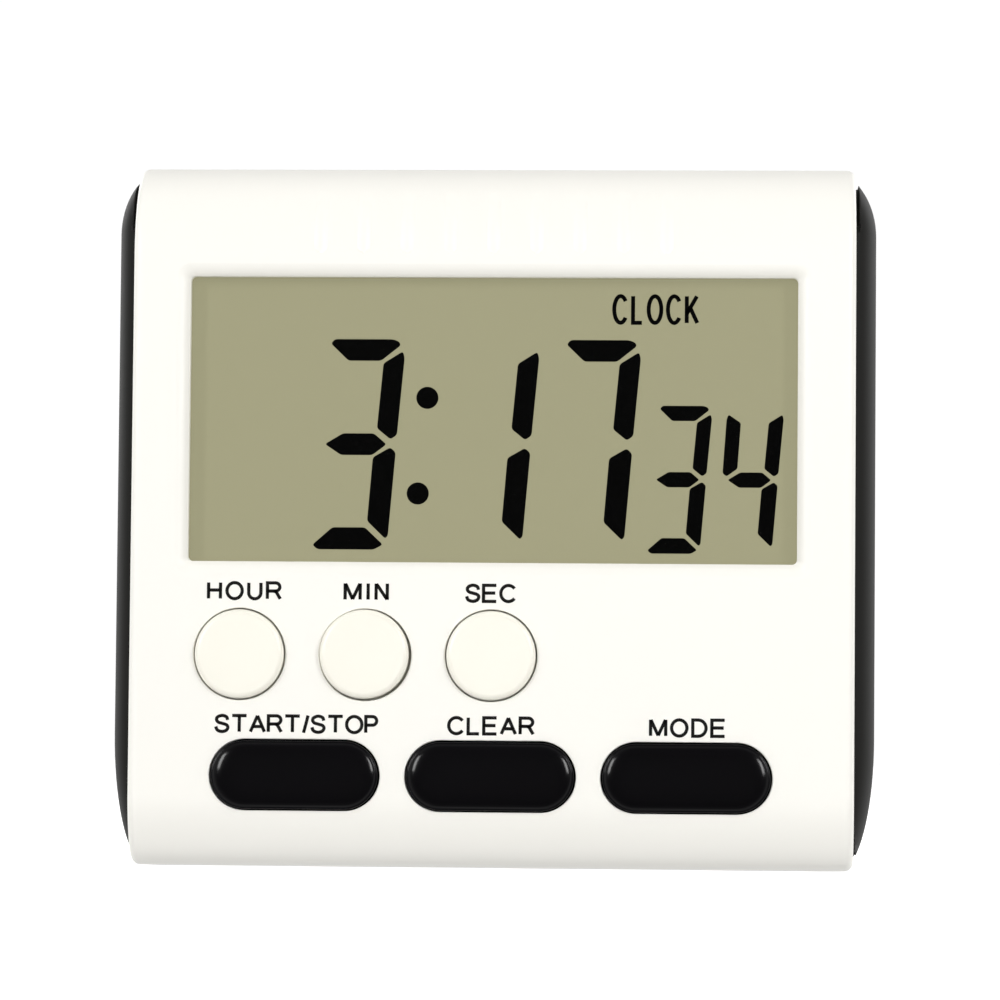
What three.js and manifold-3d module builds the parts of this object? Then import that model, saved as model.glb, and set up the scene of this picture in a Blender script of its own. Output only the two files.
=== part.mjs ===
// A countdown timer for the bench: a white front shell bent round a display and six buttons, and a black rear
// housing with rounded cheeks that holds the battery, the buzzer, two magnets and a fold-out stand.
//
// Millimetres, +Z up. x runs across the face and z up from the base. Every piece is drawn with y as its depth
// behind the flat front face, and the outer group then moves y = 0 to the middle of the timer's thickness.

import * as THREE from 'three';
import { mergeVertices } from 'three/addons/utils/BufferGeometryUtils.js';
import Module from 'manifold-3d';

const wasm = await Module();
wasm.setup();

// ---------------------------------------------------------------- driving dimensions

const HEIGHT = 70;
const HOUSING_WIDTH = 76;
const SHELL_WIDTH = 71.7;
const BODY_DEPTH = 18;
const BUTTON_PROUD = 0.9;
const GAP = 0.3;

// Front shell: a wall of one thickness that bends back over the top and under the base.
const SHELL_WALL = 1.6;
const SHELL_WRAP = 11;
const SHELL_CORNER = 1;
const TOP_BEND = { depth: 7.5, height: 9.6 };
const BASE_BEND = { depth: 5, height: 7.2 };
const LIP = { inside: 33, outside: 33.8, depth: 4, low: 9, high: 60 };

// Display window, with its sloping frame.
const WINDOW = { width: 60.3, low: 30.15, high: 58.5, corner: 0.5 };
const WINDOW_SLOPE = { width: 1.3, depth: 0.8 };

// Nine shallow flutes above the window.
const FLUTE = { count: 9, pitch: 4.29, width: 1.4, depth: 0.25, low: 60.8, high: 66.4 };

// Buttons.
const ROUND_BUTTONS = [
  { name: 'hour_button', x: -24.8 },
  { name: 'minute_button', x: -12.35 },
  { name: 'second_button', x: 0.1 },
];
const ROUND_ROW = 20.95;
const ROUND_RADIUS = 4.4;
const ROUND_GAP = 0.15;
const OBLONG_BUTTONS = [
  { name: 'start_stop_button', x: -19.25 },
  { name: 'clear_button', x: 0.1 },
  { name: 'mode_button', x: 19.4 },
];
const OBLONG_ROW = 9.05;
const OBLONG = { length: 16.5, height: 6.7, gap: 0.17, edge: 0.6 };
const FLANGE = { width: 0.45, front: 1.9, back: 2.6 };
const STEM = { radius: 1.6, front: 2, end: 4.4 };

// Rear housing: a block whose edges are quarter ellipses, hollow and open to the front.
const HOUSING_FRONT = 2.2;
const HOUSING_EDGE = { width: 2.4, depth: 5.2 };
const HOUSING_TOP_CORNER = { width: 5, height: 6.8 };
const HOUSING_BASE_CORNER = { width: 3.4, height: 13 };
const BACK_WALL = 1.6;
const BACK_INSIDE = BODY_DEPTH - BACK_WALL;
const CAVITY = { half: 34.1, low: 3.4, high: 66.6, corner: 2 };

// Display stack, front to back.
const LENS = { gap: 0.2, front: 0.85, shoulder: 1.7, back: 2.4, half: 31.3, low: 28.8, high: 60 };
const POLARISER = { half: 30.8, low: 29.9, high: 58.9, front: 2.45, back: 2.55 };
const LCD = { half: 31.2, low: 26.9, ledge: 29.6, high: 60.1 };
const FRONT_GLASS = { front: 2.6, back: 3.7 };
const REAR_GLASS = { front: 3.75, back: 4.85 };
const REFLECTOR = { front: 4.9, back: 5.1 };
const HOLDER = { half: 32.2, low: 26.1, high: 60.9, wall: 0.75, front: 1.75, back: 5.2 };
const HOLDER_FOOT = { width: 3, low: 29.6, high: 43.1, back: 6.9 };
const ZEBRA = { half: 29.5, low: 27.2, high: 29, front: 3.75, back: 6.95 };

// Circuit board, keypad and the parts on them.
const BOARD = { half: 32.6, low: 4, high: 36.6, front: 7, back: 8, hole: 0.9, notch: { x: 28.7, z: 8.6 } };
const SIDE_POSTS = [[-31.4, 15], [31.4, 15], [-31.4, 24.2], [31.4, 24.2]];
const MIDDLE_POST = [13, 20.95];
const BOARD_POSTS = [...SIDE_POSTS, MIDDLE_POST];
const POST = { radius: 1.5, back: 6.95, pilot: 0.85 };
const PILOT_FRONT = 3.2;
const KEYPAD = { half: 28.8, low: 4.6, high: 25.4, front: 6, back: 6.95, domeHole: 3.2 };
const CHIP_BLOB = { x: 2, z: 18 };
const CRYSTAL = { x: 12, z: 30, radius: 1, length: 6, lift: 1.1 };
const CAPACITOR = { x: -6, z: 28, height: 0.95 };
const RESISTOR = { x: -6, z: 24, height: 0.6 };
const SMALL_PART = { half: 1, lift: 0.05, halfHeight: 0.6 };

// Battery bay, for one AAA cell lying across behind the display.
const CELL = { radius: 5.2, left: -21.2, right: 22.3, nub: 0.9, nubRadius: 1.9, x: 0, z: 50.5, depth: 11.4 };
const BAY = { left: -26.2, right: 24.2, low: 45.1, high: 55.9, floor: 6.15 };
const BAY_WALL = { floor: 0.85, ends: 1.2, sides: 1.1 };
const COVER = { half: 27, low: 43.4, high: 57.6, front: 16.9, back: 17.95, gap: 0.15, corner: 0.6 };
const COVER_RIM = { half: 28.4, front: 15.4, margin: 1.2 };
const COVER_RIB = { reach: 1.3, inset: 0.7, half: 0.45, ends: 3 };
const LATCH = { length: 7, cut: 3.4, halfCut: 0.3 };
const FINGERTIP = { outer: 3, inner: 5.5, half: 2.6, depth: 0.6 };
const CONTACT = { thickness: 0.4, low: 45.5, high: 55.5, front: 6.6, back: 15.2 };
const CONTACT_TAB = { low: 41.6, front: 10.6, back: 13, slot: 0.45 };
const POSITIVE_X = BAY.right - 0.55;
const NEGATIVE_X = BAY.left + 0.45;
const SPRING = { wire: 0.32, gap: 0.1, footRadius: 3.9, tipRadius: 2.4, turns: 3.5, steps: 44 };

// Back of the housing.
const STAND = { half: 13.55, low: 4.6, axis: 37.6, depth: 16.85, front: 15.8, back: 17.9, heel: 1.35 };
const STAND_CORNER = 1.5;
const STAND_NOTCH = { radius: 4.5, below: 1 };
const STAND_HEEL_FRONT = -0.65;
const STAND_PIN = { radius: 0.9, hole: 0.98, reach: 1.65, holeReach: 1.5 };
const RECESS = { half: 14, low: 3.9, high: 40, floor: 15.3, pad: 1.2, cheek: 16.6 };
const MAGNET = { x: 25, z: 35, radius: 5, thickness: 2.1, gap: 0.1, recess: 0.05 };
const MAGNET_CUP = { wall: 1.3, front: 14.6 };
const BUZZER = { x: -25.4, z: 17, radius: 8.4, front: 15.2, back: 15.75, hole: 0.6, holeRing: 3.2, holes: 6 };
const BUZZER_SEAT = { wall: 1.2, gap: 0.2, front: 14.8 };
const BUZZER_DISC = { front: 0.3, back: 0.5 };
const BUZZER_CERAMIC = { radius: 5.8, back: 0.25 };
const KEYHOLE = { z: 61.4, radius: 3.2, slot: 1.6, top: 65.2, front: 13.6 };
const KEYHOLE_BOX = { half: 5.6, wall: 1, inside: 4.4, top: 65.8 };
const HOUSING_SCREWS = [[-31.3, 64.2], [31.3, 64.2], [-31.3, 6], [31.3, 6]];
const SCREW_SEAT = 10.5;
const SHELL_BOSS = { radius: 2.2, back: 9, pilot: 1.2 };
const HOUSING_BOSS = { radius: 2.9, front: 9.3, bore: 2.2, clearance: 1.3, clearanceFront: 5 };
const HOUSING_SCREW = { headRadius: 1.9, headHeight: 1.3, shankRadius: 1, length: 7 };
const BOARD_SCREW = { headRadius: 1.5, headHeight: 0.9, shankRadius: 0.7, length: 4.5 };
const CROSS_HALF = 0.18;

// Leads.
const WIRE_RADIUS = 0.45;
const LEAD_STEPS = 14;
const LEAD_DROP = 0.6;
const SOLDER_DEPTH = BOARD.back + WIRE_RADIUS + GAP;

// How far a touching piece is set off its neighbour, how deep a joined piece runs into its neighbour, and how
// far a cutter runs past the wall that it cuts.
const TOUCH = 0.05;
const OVERLAP = 0.5;
const PAST = 1;

// Steps round a full circle, by size, and steps along each quarter bend of an outline.
const FINE = 24;
const MEDIUM = 16;
const SMALL = 10;
const BEND_STEPS = 3;

// ---------------------------------------------------------------- finishes

const finish = (color, roughness, metalness = 0) => ({ color, roughness, metalness });
const WHITE_PLASTIC = finish(0xf6f3ea, 0.42);
const CREAM_PLASTIC = finish(0xf3efdf, 0.38);
const GLOSS_BLACK = finish(0x111114, 0.12);
const HOUSING_BLACK = finish(0x1d1d1c, 0.6);
const CLEAR_PLASTIC = finish(0xe8ece2, 0.05);
const LCD_GREY = finish(0xa5a281, 0.3);
const GLASS = finish(0xc9cfc4, 0.05);
const SILICONE = finish(0xb9bcbb, 0.7);
const ZEBRA_RUBBER = finish(0xd98aa0, 0.6);
const BOARD_GREEN = finish(0x2f6b3c, 0.45);
const EPOXY = finish(0x0c0c0d, 0.2);
const STEEL = finish(0xb8babd, 0.3, 1);
const NICKEL = finish(0xcfd0cf, 0.25, 1);
const BRASS = finish(0xc9a85a, 0.3, 1);
const CERAMIC = finish(0xe6e3dc, 0.5);
const CELL_WRAP = finish(0x3a3d42, 0.3);
const RED_WIRE = finish(0xb3201d, 0.5);
const BLACK_WIRE = finish(0x151515, 0.5);

// ---------------------------------------------------------------- shapes and solids

/** A closed three.js geometry as a solid that can be joined and cut. */
function toSolid(geometry) {
  geometry.deleteAttribute('normal');
  geometry.deleteAttribute('uv');
  const merged = mergeVertices(geometry, 1e-4);
  const corners = merged.index.array;
  const triangles = [];
  for (let i = 0; i < corners.length; i += 3) {
    const [a, b, c] = [corners[i], corners[i + 1], corners[i + 2]];
    if (a !== b && b !== c && c !== a) triangles.push(a, b, c);
  }
  return new wasm.Manifold(new wasm.Mesh({
    numProp: 3,
    vertProperties: new Float32Array(merged.attributes.position.array),
    triVerts: new Uint32Array(triangles),
  }));
}

function toGeometry(solid) {
  const mesh = solid.getMesh();
  const geometry = new THREE.BufferGeometry();
  geometry.setAttribute('position', new THREE.BufferAttribute(mesh.vertProperties, 3));
  geometry.setIndex(new THREE.BufferAttribute(mesh.triVerts, 1));
  geometry.computeVertexNormals();
  return geometry;
}

function roundedRectangle(left, right, low, high, radius) {
  const shape = new THREE.Shape();
  shape.moveTo(left + radius, low);
  shape.lineTo(right - radius, low);
  shape.absarc(right - radius, low + radius, radius, -Math.PI / 2, 0, false);
  shape.absarc(right - radius, high - radius, radius, 0, Math.PI / 2, false);
  shape.absarc(left + radius, high - radius, radius, Math.PI / 2, Math.PI, false);
  shape.absarc(left + radius, low + radius, radius, Math.PI, Math.PI * 1.5, false);
  shape.closePath();
  return shape;
}

function stadium(x, z, length, height) {
  return roundedRectangle(x - length / 2, x + length / 2, z - height / 2, z + height / 2, height / 2);
}

/** An outline in x and z, made solid from one depth to another. */
function plate(shape, front, back, bevel = { width: 0, depth: 0, steps: 0 }) {
  const geometry = new THREE.ExtrudeGeometry(shape, {
    depth: back - front - 2 * bevel.depth,
    curveSegments: BEND_STEPS,
    bevelEnabled: bevel.depth > 0,
    bevelSize: bevel.width,
    bevelThickness: bevel.depth,
    bevelSegments: bevel.steps,
  });
  geometry.rotateX(Math.PI / 2);
  geometry.translate(0, back - bevel.depth, 0);
  return toSolid(geometry);
}

/** An outline in depth and z, made solid from left to right. */
function slab(shape, left, right) {
  const geometry = new THREE.ExtrudeGeometry(shape, {
    depth: right - left,
    curveSegments: BEND_STEPS,
    bevelEnabled: false,
  });
  const acrossTheFace = new THREE.Matrix4().makeBasis(
    new THREE.Vector3(0, 1, 0),
    new THREE.Vector3(0, 0, 1),
    new THREE.Vector3(1, 0, 0),
  );
  geometry.applyMatrix4(acrossTheFace);
  geometry.translate(left, 0, 0);
  return toSolid(geometry);
}

function block(left, right, front, back, low, high) {
  const geometry = new THREE.BoxGeometry(right - left, back - front, high - low);
  geometry.translate((left + right) / 2, (front + back) / 2, (low + high) / 2);
  return toSolid(geometry);
}

/** A round bar that runs along the depth. */
function bar(x, z, radius, front, back, steps) {
  const geometry = new THREE.CylinderGeometry(radius, radius, back - front, steps);
  geometry.translate(x, (front + back) / 2, z);
  return toSolid(geometry);
}

/** A turned piece: pairs of radius and depth, from the axis at the front round to the axis at the back. */
function turned(profile, steps) {
  return toSolid(new THREE.LatheGeometry(profile.map(([r, d]) => new THREE.Vector2(r, d)), steps));
}

function circle(radius, steps) {
  const turn = (Math.PI * 2) / steps;
  const corner = (_, i) => new THREE.Vector2(radius * Math.cos(i * turn), radius * Math.sin(i * turn));
  return new THREE.Shape(Array.from({ length: steps }, corner));
}

/** A round wire of one thickness along a curve. */
function wire(curve, radius, steps) {
  const sides = 6;
  return toSolid(new THREE.ExtrudeGeometry(circle(radius, sides), {
    steps,
    extrudePath: curve,
    bevelEnabled: false,
  }));
}

const timer = new THREE.Group();
timer.position.y = -(BODY_DEPTH - BUTTON_PROUD) / 2;

function addPiece(name, solid, look, x = 0, depth = 0, z = 0) {
  const mesh = new THREE.Mesh(toGeometry(solid), new THREE.MeshStandardMaterial(look));
  mesh.name = name;
  mesh.position.set(x, depth, z);
  timer.add(mesh);
}

// ---------------------------------------------------------------- front shell

/** The shell's side view, moved inwards by an inset: base, base bend, face, top bend and top. */
function shellProfile(inset, rear) {
  const shape = new THREE.Shape();
  const [base, top] = [BASE_BEND, TOP_BEND];
  shape.moveTo(rear, inset);
  shape.lineTo(base.depth, inset);
  shape.absellipse(
    base.depth, base.height, base.depth - inset, base.height - inset, -Math.PI / 2, Math.PI, true,
  );
  shape.lineTo(inset, HEIGHT - top.height);
  shape.absellipse(
    top.depth, HEIGHT - top.height, top.depth - inset, top.height - inset, Math.PI, Math.PI / 2, true,
  );
  shape.lineTo(rear, HEIGHT - inset);
  shape.closePath();
  return shape;
}

/** The flutes' cutters, which stop at a floor that follows the shell's bend. */
function flutes() {
  const floor = slab(shellProfile(FLUTE.depth, SHELL_WRAP + PAST), -SHELL_WIDTH, SHELL_WIDTH);
  const half = FLUTE.width / 2;
  let cut = null;
  for (let i = 0; i < FLUTE.count; i += 1) {
    const x = (i - (FLUTE.count - 1) / 2) * FLUTE.pitch;
    const shape = new THREE.Shape();
    shape.moveTo(x + half, FLUTE.low + half);
    shape.lineTo(x + half, FLUTE.high);
    shape.lineTo(x - half, FLUTE.high);
    shape.lineTo(x - half, FLUTE.low + half);
    shape.absarc(x, FLUTE.low + half, half, Math.PI, Math.PI * 2, false);
    const flute = plate(shape, -PAST, SHELL_WRAP);
    cut = cut ? cut.add(flute) : flute;
  }
  return cut.subtract(floor);
}

function makeFrontShell() {
  const half = SHELL_WIDTH / 2;
  const corners = plate(roundedRectangle(-half, half, 0, HEIGHT, SHELL_CORNER), -PAST, SHELL_WRAP + PAST);
  const envelope = slab(shellProfile(0, SHELL_WRAP), -half, half).intersect(corners);
  let shell = envelope.subtract(slab(shellProfile(SHELL_WALL, SHELL_WRAP + PAST), -SHELL_WIDTH, SHELL_WIDTH));

  // Locating lips along both sides, and posts for the screws.
  shell = shell.add(block(LIP.inside, LIP.outside, SHELL_WALL / 2, LIP.depth, LIP.low, LIP.high));
  shell = shell.add(block(-LIP.outside, -LIP.inside, SHELL_WALL / 2, LIP.depth, LIP.low, LIP.high));
  for (const [x, z] of BOARD_POSTS) {
    shell = shell.add(bar(x, z, POST.radius, SHELL_WALL / 2, POST.back, SMALL));
  }
  for (const [x, z] of HOUSING_SCREWS) {
    shell = shell.add(bar(x, z, SHELL_BOSS.radius, SHELL_WALL / 2, SHELL_BOSS.back, SMALL));
  }
  shell = shell.intersect(envelope);
  for (const [x, z] of BOARD_POSTS) {
    shell = shell.subtract(bar(x, z, POST.pilot, PILOT_FRONT, BOARD.front, SMALL));
  }
  for (const [x, z] of HOUSING_SCREWS) {
    shell = shell.subtract(bar(x, z, SHELL_BOSS.pilot, PILOT_FRONT, SHELL_BOSS.back + PAST, SMALL));
  }

  // The window and its sloping frame.
  const halfWidth = WINDOW.width / 2;
  const opening = roundedRectangle(-halfWidth, halfWidth, WINDOW.low, WINDOW.high, WINDOW.corner);
  const slope = { width: WINDOW_SLOPE.width, depth: WINDOW_SLOPE.depth, steps: 1 };
  shell = shell.subtract(plate(opening, -3 * PAST, WINDOW_SLOPE.depth, slope));
  shell = shell.subtract(plate(opening, -PAST, SHELL_WALL + PAST));

  // The button holes and the flutes.
  for (const { x } of ROUND_BUTTONS) {
    shell = shell.subtract(bar(x, ROUND_ROW, ROUND_RADIUS + ROUND_GAP, -PAST, SHELL_WALL + PAST, FINE));
  }
  for (const { x } of OBLONG_BUTTONS) {
    const hole = stadium(x, OBLONG_ROW, OBLONG.length + 2 * OBLONG.gap, OBLONG.height + 2 * OBLONG.gap);
    shell = shell.subtract(plate(hole, -PAST, SHELL_WALL + PAST));
  }
  return shell.subtract(flutes());
}

addPiece('front_shell', makeFrontShell(), WHITE_PLASTIC);

// ---------------------------------------------------------------- display

function makeWindow() {
  const half = WINDOW.width / 2 - LENS.gap;
  const [low, high] = [WINDOW.low + LENS.gap, WINDOW.high - LENS.gap];
  const pane = plate(roundedRectangle(-half, half, low, high, WINDOW.corner), LENS.front, LENS.back);
  return pane.add(block(-LENS.half, LENS.half, LENS.shoulder, LENS.back, LENS.low, LENS.high));
}

addPiece('display_window', makeWindow(), CLEAR_PLASTIC);

/** A flat sheet of the display, between two depths. */
function sheet(half, { front, back }, low, high) {
  return block(-half, half, front, back, low, high);
}

addPiece('front_polariser', sheet(POLARISER.half, POLARISER, POLARISER.low, POLARISER.high), LCD_GREY);
addPiece('display_front_glass', sheet(LCD.half, FRONT_GLASS, LCD.low, LCD.high), GLASS);
addPiece('display_rear_glass', sheet(LCD.half, REAR_GLASS, LCD.ledge, LCD.high), GLASS);
addPiece('display_reflector', sheet(LCD.half, REFLECTOR, LCD.ledge, LCD.high), LCD_GREY);
addPiece('contact_strip', sheet(ZEBRA.half, ZEBRA, ZEBRA.low, ZEBRA.high), ZEBRA_RUBBER);

function makeDisplayHolder() {
  const { half, low, high, wall, front, back } = HOLDER;
  let frame = block(-half, half, front, back, low, high);
  const inner = half - wall;
  frame = frame.subtract(block(-inner, inner, front - PAST, back + PAST, low + wall, high - wall));

  // Two feet reach back from the frame towards the board.
  const foot = HOLDER_FOOT;
  for (const left of [-half, half - foot.width]) {
    frame = frame.add(block(left, left + foot.width, back, foot.back, foot.low, foot.high));
  }
  return frame;
}

addPiece('display_holder', makeDisplayHolder(), WHITE_PLASTIC);

// ---------------------------------------------------------------- buttons

// Pairs of radius and depth, from the crown down to the stem.
const roundCap = turned([
  [0, -BUTTON_PROUD],
  [ROUND_RADIUS * 0.6, -BUTTON_PROUD + 0.05],
  [ROUND_RADIUS * 0.88, -BUTTON_PROUD + 0.22],
  [ROUND_RADIUS * 0.98, -BUTTON_PROUD + 0.5],
  [ROUND_RADIUS, -BUTTON_PROUD + 0.85],
  [ROUND_RADIUS, FLANGE.front],
  [ROUND_RADIUS + FLANGE.width, FLANGE.front],
  [ROUND_RADIUS + FLANGE.width, FLANGE.back],
  [STEM.radius, FLANGE.back],
  [STEM.radius, STEM.end],
  [0, STEM.end],
], FINE);

function makeOblongCap() {
  const { length, height, edge } = OBLONG;
  const core = stadium(0, 0, length - 2 * edge, height - 2 * edge);
  const rim = stadium(0, 0, length + 2 * FLANGE.width, height + 2 * FLANGE.width);
  const cap = plate(core, -BUTTON_PROUD, FLANGE.back - 0.1, { width: edge, depth: edge, steps: 2 });
  const stem = bar(0, 0, STEM.radius, STEM.front, STEM.end, SMALL);
  return cap.add(plate(rim, FLANGE.front, FLANGE.back)).add(stem);
}

for (const { name, x } of ROUND_BUTTONS) {
  addPiece(name, roundCap, CREAM_PLASTIC, x, 0, ROUND_ROW);
}
const oblongCap = makeOblongCap();
for (const { name, x } of OBLONG_BUTTONS) {
  addPiece(name, oblongCap, GLOSS_BLACK, x, 0, OBLONG_ROW);
}

// ---------------------------------------------------------------- keypad and circuit board

/** A hollow silicone dome with the contact pill hanging inside it. */
const dome = turned([
  [0, 4.45],
  [2.2, 4.45],
  [3.5, 6],
  [3.5, KEYPAD.back],
  [2.9, KEYPAD.back],
  [1.8, 5.2],
  [1.5, 5.2],
  [1.5, 6.05],
  [0, 6.05],
], SMALL);

function makeKeypad() {
  const places = [
    ...ROUND_BUTTONS.map(({ x }) => [x, ROUND_ROW]),
    ...OBLONG_BUTTONS.map(({ x }) => [x, OBLONG_ROW]),
  ];
  let pad = block(-KEYPAD.half, KEYPAD.half, KEYPAD.front, KEYPAD.back, KEYPAD.low, KEYPAD.high);
  for (const [x, z] of places) {
    pad = pad.subtract(bar(x, z, KEYPAD.domeHole, KEYPAD.front - PAST, KEYPAD.back + PAST, SMALL));
    pad = pad.add(dome.translate([x, 0, z]));
  }
  const [postX, postZ] = MIDDLE_POST;
  return pad.subtract(bar(postX, postZ, POST.radius + GAP, KEYPAD.front - PAST, KEYPAD.back + PAST, SMALL));
}

function makeBoard() {
  const { half, low, high, front, back, notch } = BOARD;
  const shape = new THREE.Shape();
  shape.moveTo(-notch.x, low);
  shape.lineTo(notch.x, low);
  shape.lineTo(notch.x, notch.z);
  shape.lineTo(half, notch.z);
  shape.lineTo(half, high);
  shape.lineTo(-half, high);
  shape.lineTo(-half, notch.z);
  shape.lineTo(-notch.x, notch.z);
  shape.closePath();
  let board = plate(shape, front, back);
  for (const [x, z] of BOARD_POSTS) {
    board = board.subtract(bar(x, z, BOARD.hole, front - PAST, back + PAST, SMALL));
  }
  return board;
}

addPiece('rubber_keypad', makeKeypad(), SILICONE);
addPiece('circuit_board', makeBoard(), BOARD_GREEN);

const blob = turned([
  [0, 0.05],
  [4.6, 0.05],
  [4.3, 0.6],
  [3.2, 1.3],
  [1.7, 1.7],
  [0, 1.8],
], MEDIUM);
addPiece('chip_blob', blob, EPOXY, CHIP_BLOB.x, BOARD.back, CHIP_BLOB.z);

/** A round bar that runs across the face, centred on x = 0. */
function crossBar(radius, length, steps) {
  return toSolid(new THREE.CylinderGeometry(radius, radius, length, steps).rotateZ(Math.PI / 2));
}

/** A small soldered part, lying on the board. */
function chip(height) {
  const { half, lift, halfHeight } = SMALL_PART;
  return block(-half, half, lift, height, -halfHeight, halfHeight);
}

const can = crossBar(CRYSTAL.radius, CRYSTAL.length, SMALL);
addPiece('crystal', can, STEEL, CRYSTAL.x, BOARD.back + CRYSTAL.lift, CRYSTAL.z);
addPiece('capacitor', chip(CAPACITOR.height), CERAMIC, CAPACITOR.x, BOARD.back, CAPACITOR.z);
addPiece('resistor', chip(RESISTOR.height), EPOXY, RESISTOR.x, BOARD.back, RESISTOR.z);

// ---------------------------------------------------------------- screws

/** A pan-head screw along the depth, with its seat at 0 and its thread running forwards. */
function makeScrew({ headRadius, headHeight, shankRadius, length }) {
  const screw = turned([
    [0, -length],
    [shankRadius * 0.5, -length + 0.3],
    [shankRadius, -length + 1],
    [shankRadius, 0],
    [headRadius, 0],
    [headRadius, headHeight * 0.6],
    [headRadius * 0.7, headHeight],
    [0, headHeight],
  ], SMALL);
  const slot = headRadius * 0.55;
  const crossA = block(-slot, slot, headHeight / 2, headHeight + PAST, -CROSS_HALF, CROSS_HALF);
  const crossB = block(-CROSS_HALF, CROSS_HALF, headHeight / 2, headHeight + PAST, -slot, slot);
  return screw.subtract(crossA).subtract(crossB);
}

const housingScrew = makeScrew(HOUSING_SCREW);
HOUSING_SCREWS.forEach(([x, z], i) => {
  addPiece(`housing_screw_${i + 1}`, housingScrew, STEEL, x, SCREW_SEAT + TOUCH, z);
});
const boardScrew = makeScrew(BOARD_SCREW);
BOARD_POSTS.forEach(([x, z], i) => {
  addPiece(`board_screw_${i + 1}`, boardScrew, STEEL, x, BOARD.back + TOUCH, z);
});

// ---------------------------------------------------------------- rear housing

/** The housing's front view, smaller all round by its edge width, with a quarter ellipse at each corner. */
function housingOutline() {
  const inset = HOUSING_EDGE.width;
  const half = HOUSING_WIDTH / 2 - inset;
  const [low, high] = [inset, HEIGHT - inset];
  const top = { width: HOUSING_TOP_CORNER.width - inset, height: HOUSING_TOP_CORNER.height - inset };
  const base = { width: HOUSING_BASE_CORNER.width - inset, height: HOUSING_BASE_CORNER.height - inset };
  const quarter = Math.PI / 2;
  const shape = new THREE.Shape();
  shape.moveTo(-half + base.width, low);
  shape.lineTo(half - base.width, low);
  shape.absellipse(half - base.width, low + base.height, base.width, base.height, -quarter, 0, false);
  shape.lineTo(half, high - top.height);
  shape.absellipse(half - top.width, high - top.height, top.width, top.height, 0, quarter, false);
  shape.lineTo(-half + top.width, high);
  shape.absellipse(-half + top.width, high - top.height, top.width, top.height, quarter, 2 * quarter, false);
  shape.lineTo(-half, low + base.height);
  shape.absellipse(
    -half + base.width, low + base.height, base.width, base.height, 2 * quarter, 3 * quarter, false,
  );
  shape.closePath();
  return shape;
}

/** The space that the front shell's bent wall takes, with a gap round it. */
function shellClearance() {
  const half = SHELL_WIDTH / 2 + GAP;
  const rear = SHELL_WRAP + GAP;
  const around = block(-half, half, -PAST, rear, -PAST, HEIGHT + PAST);
  return around.subtract(slab(shellProfile(SHELL_WALL + GAP, rear + PAST), -half - PAST, half + PAST));
}

function keyholeCut() {
  const { z, radius, slot, top, front } = KEYHOLE;
  const round = bar(0, z, radius, front, BODY_DEPTH + PAST, MEDIUM);
  const neck = plate(roundedRectangle(-slot, slot, z, top, slot), front, BODY_DEPTH + PAST);
  const { inside } = KEYHOLE_BOX;
  return round.add(neck).add(block(-inside, inside, front, BACK_INSIDE, z - radius, KEYHOLE_BOX.top));
}

/** The housing's inner walls and pads, all joined to the back wall. */
function housingInside() {
  const rear = BACK_INSIDE + OVERLAP;
  let inside = block(BAY.left - BAY_WALL.ends, BAY.right + BAY_WALL.ends, BAY.floor - BAY_WALL.floor, rear,
    BAY.low - BAY_WALL.sides, BAY.high + BAY_WALL.sides);
  inside = inside.add(block(-COVER_RIM.half, COVER_RIM.half, COVER_RIM.front, rear,
    COVER.low - COVER_RIM.margin, COVER.high + COVER_RIM.margin));
  inside = inside.add(block(-RECESS.cheek, RECESS.cheek, RECESS.floor - RECESS.pad, rear,
    CAVITY.low - OVERLAP, RECESS.high + RECESS.pad));
  inside = inside.add(block(-KEYHOLE_BOX.half, KEYHOLE_BOX.half, KEYHOLE.front - KEYHOLE_BOX.wall, rear,
    BAY.high, CAVITY.high + OVERLAP));
  for (const x of [-MAGNET.x, MAGNET.x]) {
    inside = inside.add(bar(x, MAGNET.z, MAGNET.radius + MAGNET_CUP.wall, MAGNET_CUP.front, rear, MEDIUM));
  }
  for (const [x, z] of HOUSING_SCREWS) {
    inside = inside.add(bar(x, z, HOUSING_BOSS.radius, HOUSING_BOSS.front, rear, MEDIUM));
  }
  const { x, z, radius, front, back } = BUZZER;
  const seat = bar(x, z, radius + BUZZER_SEAT.wall, BUZZER_SEAT.front, rear, MEDIUM);
  const pocket = bar(x, z, radius + BUZZER_SEAT.gap, front - PAST, back + TOUCH, MEDIUM);
  const chamber = bar(x, z, radius - BUZZER_SEAT.wall, front - PAST, BACK_INSIDE, MEDIUM);
  return inside.add(seat.subtract(pocket).subtract(chamber));
}

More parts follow.
